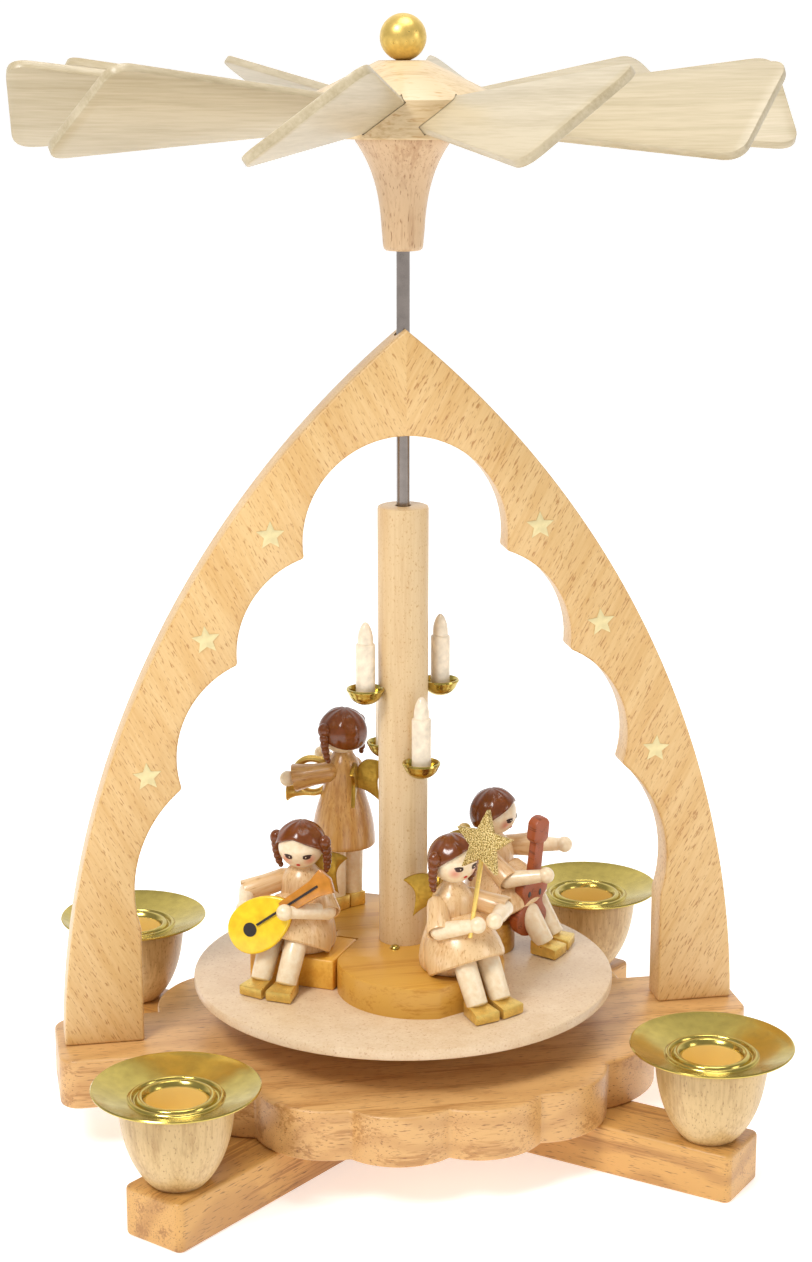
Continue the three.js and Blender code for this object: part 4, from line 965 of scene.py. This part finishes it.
def seated_dress():
    body = [(0, 0), (7.6, 0), (8.3, 0.9), (8.6, 3.6), (7.4, 9), (6, 12.6), (5.6, 15)]
    body += [(5.5, 17.6), (4.9, 19.6), (3.6, 21.2), (2.4, 22.4), (2.2, 24), (0, 24)]
    skirt = [(0, 1), (4, 0.6), (7, -1.2), (8.9, -4.4), (9.9, -8.4), (10.1, -11), (9.9, -12.2)]
    skirt += [(9.4, -12.6), (8.8, -12.5), (8.4, -12), (8.2, -11.2), (0, -11.2)]
    bell = lathe(list(reversed(skirt)), 72).turned(-30, "Y").at(z=13)
    bell = cut(fresh(bell), fresh(block(60, 60, 20).at(z=-10)))
    return [lathe(smooth(body), 72).with_grain(), bell.with_grain()]


def standing_dress():
    body = [(0, 18.2), (7.8, 18.2), (8.2, 17.7), (8.5, 18.1), (8.5, 19.6), (8, 24.4), (6.9, 28.6)]
    body += [(5.7, 32.2), (4.9, 36), (4.6, 38.8), (3.9, 41), (2.5, 43), (2.2, 45), (0, 45)]
    return [lathe(smooth(body), 72).with_grain()]


print("smoothing turns 4 profile points into", len(smooth([(0, 0)] * 4)))

# %% Arms and shoes
# The materials of a figure, in the order of its material list
DRESS, LIMB, FACE, EYE, LIP = range(5)


def arm(shoulder, elbow, hand, cuff=3.3):
    """Sleeve with a flared, hollow end, then the bare forearm and a round hand."""
    s, e, h = Vector(shoulder), Vector(elbow), Vector(hand)
    run = e - s
    end = run.length
    sleeve = [(0, -2.6), (1.4, -2.2), (2.4, -1.1), (2.75, 0.4), (2.85, end * 0.5), (cuff, end + 0.5)]
    sleeve += [(cuff - 0.1, end + 0.8), (cuff - 0.5, end + 0.7), (cuff - 0.7, end - 0.5), (0, end - 0.5)]
    turn = Matrix.Translation(s) @ run.to_track_quat("Z", "Y").to_matrix().to_4x4()
    sleeve = lathe(sleeve, 40).with_grain().moved(turn).paint(DRESS)
    return [sleeve, rod(e, h, 2.3, 1.6).paint(LIMB), ball(2.1).at(*h).paint(LIMB)]


def shoe(x, y, z, turn=0):
    """A wedge that gets wider and lower towards the toe."""
    length, heel, toe = 8, (4.8, 3.9), (7.0, 2.6)
    points = []
    for along, (width, height) in ((-length / 2, heel), (length / 2, toe)):
        points += [(along, -width / 2, 0), (along, width / 2, 0)]
        points += [(along, width / 2, height), (along, -width / 2, height)]
    faces = [(0, 3, 2, 1), (4, 5, 6, 7), (0, 1, 5, 4), (1, 2, 6, 5), (2, 3, 7, 6), (3, 0, 4, 7)]
    return bevelled(Shape(points, faces), 0.4, 2).turned(turn).at(x, y, z)


print("a shoe has", len(shoe(0, 0, 0).faces), "faces")

# %% Head
def face():
    """Long dark eyes with a pale dot as painted highlight, and a small mouth, each a thin lens on the
    ball head.
    """
    marks = []

    def mark(left, up, width, height, material, lift=0.04):
        x = math.sqrt(max((HEAD + lift) ** 2 - left**2 - up**2, 0))
        lens = ball(1, 16, (0.12, width, height))
        normal = Vector((x, left, up)).to_track_quat("X", "Z").to_matrix().to_4x4()
        marks.append(lens.moved(normal).at(x, left, up).paint(material))

    for side in (-1, 1):
        mark(side * 2.3, -1.1, 1.05, 0.62, EYE)
        mark(side * 2.45, -0.7, 1.2, 0.34, EYE, 0.03)
        # Painted highlight: a pale dot of limb colour on each eye
        mark(side * 2.1, -1.0, 0.16, 0.16, LIMB, 0.16)
    mark(0, -3.5, 0.55, 0.5, LIP)
    return marks


def head(place, pitch, turn):
    """place is the middle of the ball; it nods by pitch and then turns, both in degrees."""
    skull = ball(HEAD, 64).paint(FACE)
    return [s.turned(pitch, "Y").turned(turn).at(*place) for s in (skull, *face())]


print("a face has", len(face()), "painted marks")

# %% [markdown]
# The hair is a painted cap. Its surface is drawn in rings from the crown down to a hairline whose
# height is a smooth function of the direction: short over the face with a scalloped fringe, long
# at the back. That keeps the edge clean, which cutting a sphere would not.

# %% Hair
CAP = 6.6
CROWN_STEPS, AROUND = 22, 96
# Below the hairline three more rings turn the edge inwards: radius, and degrees past the hairline
EDGE = [(CAP - 0.12, math.degrees(0.035)), (CAP - 0.45, math.degrees(0.05))]
EDGE += [(HEAD - 0.2, math.degrees(0.02))]
# The caps of all four figures face this many degrees to their left, however far the head is turned
CAP_TURN = 6.2177


def hairline(turn):
    """Degrees down from the crown at which the hair ends, in a direction in radians from the face."""
    front = 0.5 + 0.5 * math.cos(turn)
    sides = 118 - 58 * front**1.6
    fringe = 4.0 * abs(math.sin(2.5 * turn)) * front**3
    return sides + fringe


def hair_point(i, turn):
    """A point of ring i; the cap has faint waves that fade out at the crown and at the hairline."""
    share = min(i / CROWN_STEPS, 1.0)
    r = CAP + 0.1 * math.sin(9 * turn) * math.sin(math.pi * share)
    tilt = hairline(turn) * share
    if i > CROWN_STEPS:
        r, past = EDGE[i - CROWN_STEPS - 1]
        tilt += past
    tilt = math.radians(tilt)
    flat = r * math.sin(tilt)
    return flat * math.cos(turn), flat * math.sin(turn), r * math.cos(tilt)


def hair(place, pitch, locks):
    """The cap, and on both sides of it a bead for each lock (x, y, z, radius)."""
    points, faces = [(0, 0, CAP)], []
    rings = []
    for i in range(1, CROWN_STEPS + len(EDGE) + 1):
        rings.append(list(range(len(points), len(points) + AROUND)))
        points += [hair_point(i, 2 * math.pi * k / AROUND) for k in range(AROUND)]
    for k in range(AROUND):
        faces.append((0, rings[0][k], rings[0][(k + 1) % AROUND]))
    for low, high in zip(rings, rings[1:]):
        for k in range(AROUND):
            n = (k + 1) % AROUND
            faces.append((low[k], high[k], high[n], low[n]))
    faces.append(tuple(reversed(rings[-1])))
    shapes = [Shape(points, faces).turned(-6, "Y").at(x=-0.15)]
    for side in (-1, 1):
        for x, y, z, r in locks:
            shapes.append(ball(r, 24, (1, 1, 1.15)).at(x, side * y, z))
    return [s.turned(pitch, "Y").turned(CAP_TURN).at(*place) for s in shapes]


# A bun over the ear and a plait of beads that hangs from it, for one side of the head
PLAIT = [(0.2, 6.6, 1.5, 1.75), (-0.1, 6.9, -0.5, 1.35), (-0.3, 7.0, -2.2, 1.2)]
PLAIT += [(-0.5, 6.9, -3.8, 1.1), (-0.7, 6.7, -5.3, 0.95), (-0.9, 6.3, -6.5, 0.7)]
print("fringe and nape, degrees from the crown:", round(hairline(0)), round(hairline(math.pi)))

# %% [markdown]
# The wings are flat gold leaves, cut to a point at the top and at the bottom and swept back.
# They are slabs with an outline of curves. Instruments and the star are built the same way.

# %% Wings
WING_SWEEP = 48


def chain(*curves, steps):
    """Bezier curves that follow each other, as one list of points without doubles."""
    points = [curves[0][0]]
    for curve in curves:
        points += bezier(*curve, steps=steps)[1:]
    return points


def wings(back, z):
    """Both leaves, from a point this far behind the middle of the figure and at height z."""
    lower = ((0, -2.4), (2.6, -2.4), (6.4, -6.2)), ((6.4, -6.2), (5.7, -3.1), (5.7, -0.8))
    upper = ((5.7, -0.8), (5.7, 1.7), (8.8, 3.4)), ((8.8, 3.4), (6.4, 5.4), (3.2, 5.4))
    outline = chain(*lower, *upper, steps=8)
    outline += bezier((3.2, 5.4), (1.6, 5.4), (0, 2.6), steps=5)[1:]
    pair = []
    for side in (-1, 1):
        leaf = slab(outline, -0.55, 0.55).turned(90, "X")
        leaf = bevelled(fresh(leaf), 0.25, 2)
        pair.append(leaf.turned(180 - WING_SWEEP * side).at(back, 0, z))
    return pair


print("the wings have", sum(len(leaf.faces) for leaf in wings(0, 0)), "faces")

# %% Lute
def aimed(shapes, along, facing, at):
    """Lays the shapes' X axis along one direction, with their Y axis square to facing."""
    x = Vector(along).normalized()
    y = Vector(facing).cross(x).normalized()
    turn = Matrix((x, y, x.cross(y))).transposed().to_4x4()
    return [s.moved(Matrix.Translation(at) @ turn) for s in shapes]


LUTE_SCALE = Matrix.Diagonal((1.16, 1.2, 1, 1))


def lute():
    """Materials: 0 belly, 1 back and neck, 2 ink of the hole and the string."""
    rim = bezier((-6.4, 0), (-6.4, -6.8), (4.4, -7.4), (9, -1.6), steps=24)
    rim += bezier((9, 1.6), (4.4, 7.4), (-6.4, 6.8), (-6.4, 0), steps=24)[:-1]
    belly = bevelled(slab(rim, 0, 1.7), 0.5)
    bowl = []
    for scale, z in ((1.0, 0.1), (0.98, -0.7), (0.88, -1.6), (0.6, -2.2), (0.2, -2.4)):
        bowl += [(x * scale, y * scale, z) for x, y in rim]
    n = len(rim)
    faces = [tuple(range(n)), tuple(reversed(range(4 * n, 5 * n)))]
    for k in range(4):
        for i in range(n):
            j = (i + 1) % n
            faces.append((k * n + i, (k + 1) * n + i, (k + 1) * n + j, k * n + j))
    back = Shape(bowl, faces).paint(1)
    neck = [(7.4, -1.5), (16, -1.9), (19.4, -2.9), (20.3, 0), (19.4, 2.9), (16, 1.9), (7.4, 1.5)]
    neck = bevelled(slab(neck, -0.4, 2.0), 0.3, 2).paint(1)
    hole = lathe([(0, 1.5), (1.5, 1.5), (1.5, 1.82), (0, 1.82)], 32).at(x=-1.2).paint(2)
    string = block(16.5, 0.5, 0.3).at(x=9, z=2.1).paint(2)
    return [s.moved(LUTE_SCALE) for s in (belly, back, neck, hole, string)]


print("the lute has", len(lute()), "parts")

# %% Star, viol and horn
def star_staff():
    """Materials: 0 the glittering star, 1 its stick."""
    top = bevelled(fresh(star(8.5, 0.45, 1.8, 0).at(z=-0.9)), 0.2, 2)
    stick = rod((0, 0, -3.2), (0, 0, 17), 0.6, 0.6, 20, 0.2).paint(1)
    return [top.turned(90, "X").at(z=20.5), stick]


def viol():
    """Materials: 0 wood, 1 ink of the two sound holes."""
    right = [*bezier((0, -17), (3.6, -17), (5.6, -14.5), (5.4, -11.6), steps=10)]
    waist = ((5.4, -11.6), (5.2, -9.6), (3.4, -9), (3.3, -6.8))
    chest = ((3.3, -6.8), (3.4, -5), (4.8, -5.2), (4.6, -3))
    shoulder = ((4.6, -3), (4.2, 0.2), (2.4, 0.6), (1.7, 0.9))
    right += chain(waist, chest, shoulder, steps=8)[1:]
    left = [(-x, y) for x, y in reversed(right)][:-1]
    body = bevelled(slab(right + left, -1.6, 1.4), 0.35, 2)
    neck = bevelled(slab([(-1.7, 0), (1.7, 0), (1.5, 10.2), (-1.5, 10.2)], -1.1, 1.3), 0.25, 2)
    scroll = [(1.7, 9.8), (2.7, 10.8), (2.6, 15.4), (1.6, 16.6)]
    scroll += [(0, 17)] + [(-x, y) for x, y in reversed(scroll)]
    scroll = bevelled(slab(scroll, -1.5, 1.6), 0.45, 2)
    holes = [ball(1, 20, (0.5, 0.95, 0.12)).at(side * 1.9, -4.6, 1.42).paint(1) for side in (-1, 1)]
    parts = [body, neck, scroll, *holes]
    return [s.turned(90, "X").turned(90) for s in parts]


def horn():
    loop = lathe(arc((4.7, 0), 0.95, 0, 360, 24)[:-1], 72, True).turned(90, "X")
    flare = [(0, 0), (0.9, 0), (1.0, 2.5), (1.3, 4.4), (1.9, 5.8), (2.6, 6.6)]
    flare += [(2.5, 6.8), (1.7, 6.1), (0.9, 4.6), (0, 4)]
    bell = lathe(flare, 36).turned(90, "Y").at(z=-4.7)
    pipe = rod((0.5, 0, 4.7), (-5.6, 0, 4.7), 0.8, 0.65, 20, 0.3)
    return [loop, bell, pipe]


print("parts of the star, the viol and the horn:", len(star_staff()), len(viol()), len(horn()))

# %% Seats and legs
# Where each figure sits or stands on the stool or the riser, and the direction it faces
SEATS = {
    "lute": (STOOL_SPOT, 232),
    "star": (STAR_SPOT, STAR_FACING),
    "viol": ((27, 14), 325),
    "horn": ((-11, 27), 120),
}
SEATED_FACE, STANDING_FACE = 28.1, 49.1
TOE_OUT = 6


def legs(seated, tuck):
    """Two bare legs and two shoes; tuck draws them back. Without a seat they hang straight down."""
    bare, shoes = [], []
    for side in (-1, 1):
        if seated:
            y = side * 3.6
            knee, foot = (9.8 - tuck, y, 5.3), (15.6 - tuck, y, -4.6)
            bare.append(rod(knee, foot, 3.0, 2.7, rounding=0.2).paint(LIMB))
            shoes.append(shoe(16.6 - tuck, y, -7.8, side * TOE_OUT))
        else:
            y = side * 2.9
            bare.append(rod((0, y, 1.8), (0, y, 19), 2.7, 3.0, rounding=0.2).paint(LIMB))
            shoes.append(shoe(0.9, y, 0, side * TOE_OUT))
    return bare, shoes


print("seats:", ", ".join(SEATS))

# %% Put the angels together
def build_angel(who, arms, item, item_materials, item_slot, lean, locks, tuck=0, dress=dress_wood):
    """Makes the five pieces of a figure and sets them on its seat.

    lean is the head's shift forwards and up, its pitch and its turn; locks are beads of hair; tuck
    draws the feet back; dress is the wood of the body and the sleeves.
    """
    seated = who != "horn"
    figure = seated_dress() if seated else standing_dress()
    for limb in arms:
        figure += arm(*limb)
    bare, shoes = legs(seated, tuck)
    forward, up, pitch, turn = lean
    place = (forward, 0, up + (SEATED_FACE if seated else STANDING_FACE))
    figure += [*bare, *head(place, pitch, turn)]
    skins = [dress, limb_skin, face_skin, eye_paint, lip_paint]
    cap = hair(place, pitch, locks)
    leaves = wings(-6.2, 17.4) if seated else wings(-5.4, 36.8)
    spot, facing = SEATS[who]
    for part, shapes, materials, slot, *nodes in (
        ("figure", figure, skins, "figure_wood", f"angel_{who}_body"),
        ("shoes", shoes, gold, "gold_paint"),
        ("cap", cap, hair_paint, "hair_paint", f"angel_{who}_hair"),
        ("leaves", leaves, gold_leaf, "gold_paint", f"angel_{who}_wings"),
        ("held", item, item_materials, item_slot, f"angel_{who}_{who}"),
    ):
        shapes = [s.turned(facing).at(*spot, SEAT) for s in shapes]
        piece(f"angel_{who}_{part}", shapes, materials, "carousel", slot, *nodes)


build_angel(
    "lute",
    [
        ((0.3, -5, 17.4), (7, -12.4, 14.6), (13.6, -9.6, 12.6)),
        ((0.3, 5, 17.4), (4.6, 9.6, 12.2), (15.2, 3.2, 14.2)),
    ],
    aimed(lute(), (-0.28, 0.77, 0.58), (1, 0.1, 0.2), (14.8, -5.2, 9.0)),
    [lute_yellow, lute_orange, ink],
    "lute_paint",
    lean=(0.9, -0.9, 5, 20),
    locks=PLAIT,
)
build_angel(
    "star",
    [
        ((0.3, -5, 17.4), (5.4, -8.2, 12.8), (13.6, -2.6, 15.6)),
        ((0.3, 5, 17.4), (8.6, 9.6, 15.8), (14.4, 2, 15.9)),
    ],
    [s.turned(-11, "X").turned(2, "Y").turned(18).at(12.6, -3.6, 15.6) for s in star_staff()],
    [glitter, gold],
    "gold_paint",
    lean=(0.4, 0.3, -3, 0),
    locks=PLAIT,
    tuck=0.6,
)
build_angel(
    "viol",
    [
        ((0.3, -5, 17.4), (7.6, -8.4, 13), (17.6, -6.4, 15)),
        ((0.3, 5, 17.4), (8, 7.6, 18), (17.8, 6.4, 19.6)),
    ],
    [s.turned(7.5, "Y").turned(-25).at(13, -4.1, 13.6) for s in viol()],
    [viol_brown, ink],
    "viol_paint",
    lean=(0.4, 0, 0, 0),
    locks=[],
    tuck=-0.6,
)
build_angel(
    "horn",
    [
        ((0.3, -3.6, 38.4), (6.2, -7, 34.6), (9.4, -0.4, 40.4)),
        ((0.3, 3.6, 38.2), (7, 10.2, 36.4), (8.2, 12.4, 36.2), 3.7),
    ],
    [s.turned(40).at(6.4, 5.4, 36.1) for s in horn()],
    [gold],
    "gold_paint",
    lean=(0.3, -0.5, 0, -32),
    locks=PLAIT,
    dress=golden_dress,
)

# %% [markdown]
# ## Hidden brass and studio
# The bearing cup and the guide bush stay as the CAD made them and only get their brass. The floor
# is pale paper with a faint glow of its own, so that it stays white out to the horizon. The sky is
# brighter behind the object than over the camera, and three soft lamps light it: a key lamp high on
# the left, a weak fill on the right and a broad one above.

# %% Kept CAD pieces
for node in ("bearing_cup", "guide_bush"):
    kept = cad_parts[node]
    kept.data.materials.clear()
    kept.data.materials.append(brass)
    print(node, "is", kept.data.materials[0].name)

# %% Floor
FLOOR_REACH = 60
FLOOR_GLOW = 0.52
paper, floor_tree = blank("pale paper")
glow = {"Emission_Color": (1, 1, 1, 1), "Emission_Strength": FLOOR_GLOW}
surface(floor_tree, Base_Color=colour("#f4f3f1"), Roughness=0.9, **glow)
floor_mesh = bpy.data.meshes.new("floor")
corners = [(x * FLOOR_REACH, y * FLOOR_REACH, 0) for x, y in ((-1, -1), (1, -1), (1, 1), (-1, 1))]
floor_mesh.from_pydata(corners, [], [(0, 1, 2, 3)])
floor_mesh.materials.append(paper)
new_object("floor", floor_mesh)
print("the floor reaches", FLOOR_REACH, "m each way")

# %% Sky
# The nearer a direction is to BEHIND (their dot product, from the first share to the second), the
# stronger the sky (from the first strength to the second)
BEHIND = (0.19, 0.98, 0)
SHARES, STRENGTHS = (0.25, 0.7), (0.4, 1.08)
world = bpy.data.worlds.new("studio")
bpy.context.scene.world = world
world.use_nodes = True
sky = world.node_tree
direction = add(sky, "ShaderNodeTexCoord").outputs["Generated"]
share = add(sky, "ShaderNodeVectorMath", {0: direction, 1: BEHIND}, operation="DOT_PRODUCT")
bright = {"Value": share.outputs["Value"], "From Min": SHARES[0], "From Max": SHARES[1]}
bright |= {"To Min": STRENGTHS[0], "To Max": STRENGTHS[1]}
bright = add(sky, "ShaderNodeMapRange", bright).outputs["Result"]
backdrop = sky.nodes["Background"].inputs
backdrop["Color"].default_value = (1, 1, 1, 1)
sky.links.new(bright, backdrop["Strength"])
bpy.context.scene.view_settings.view_transform = "Standard"
print("sky strength from", STRENGTHS[0], "to", STRENGTHS[1])


# %% Lamps
def lamp(name, place, target, size, power):
    light = bpy.data.lights.new(name, "AREA")
    light.size = size
    light.energy = power
    obj = new_object(name, light)
    obj.location = place
    obj.rotation_euler = (Vector(target) - Vector(place)).to_track_quat("-Z", "Y").to_euler()
    print(name, "lamp,", power, "W")


lamp("key", (-0.5, -0.45, 0.85), (0, 0, 0.12), 0.3, 6)
lamp("fill", (0.8, -0.5, 0.4), (0, 0, 0.12), 0.3, 1.0)
lamp("top", (0.1, -0.1, 1.0), (0, 0, 0.1), 0.5, 4)

# %% [markdown]
# The camera stands where the measured points of the photograph put it. Its focal length and its
# centre were fitted in pixels of the photograph, whose longer side sets the sensor's width.

# %% Camera
SENSOR = 36
PHOTO_HEIGHT = 1262
FOCAL_PIXELS, CENTRE_PIXELS = 2461.7, (3.0, -1.1)
DOWN, RIGHT = 13.73, 10.92
cam = bpy.data.cameras.new("camera")
cam.sensor_width = SENSOR
cam.lens = SENSOR * FOCAL_PIXELS / PHOTO_HEIGHT
cam.shift_x = CENTRE_PIXELS[0] / PHOTO_HEIGHT
cam.shift_y = CENTRE_PIXELS[1] / PHOTO_HEIGHT
cam.clip_start = 0.01
eye = new_object("camera", cam)
eye.location = (-0.11415, -0.59151, 0.27637)
eye.rotation_euler = (math.radians(90 - DOWN), 0, math.radians(-RIGHT))
bpy.context.scene.camera = eye
print("lens of", round(cam.lens, 1), "mm")
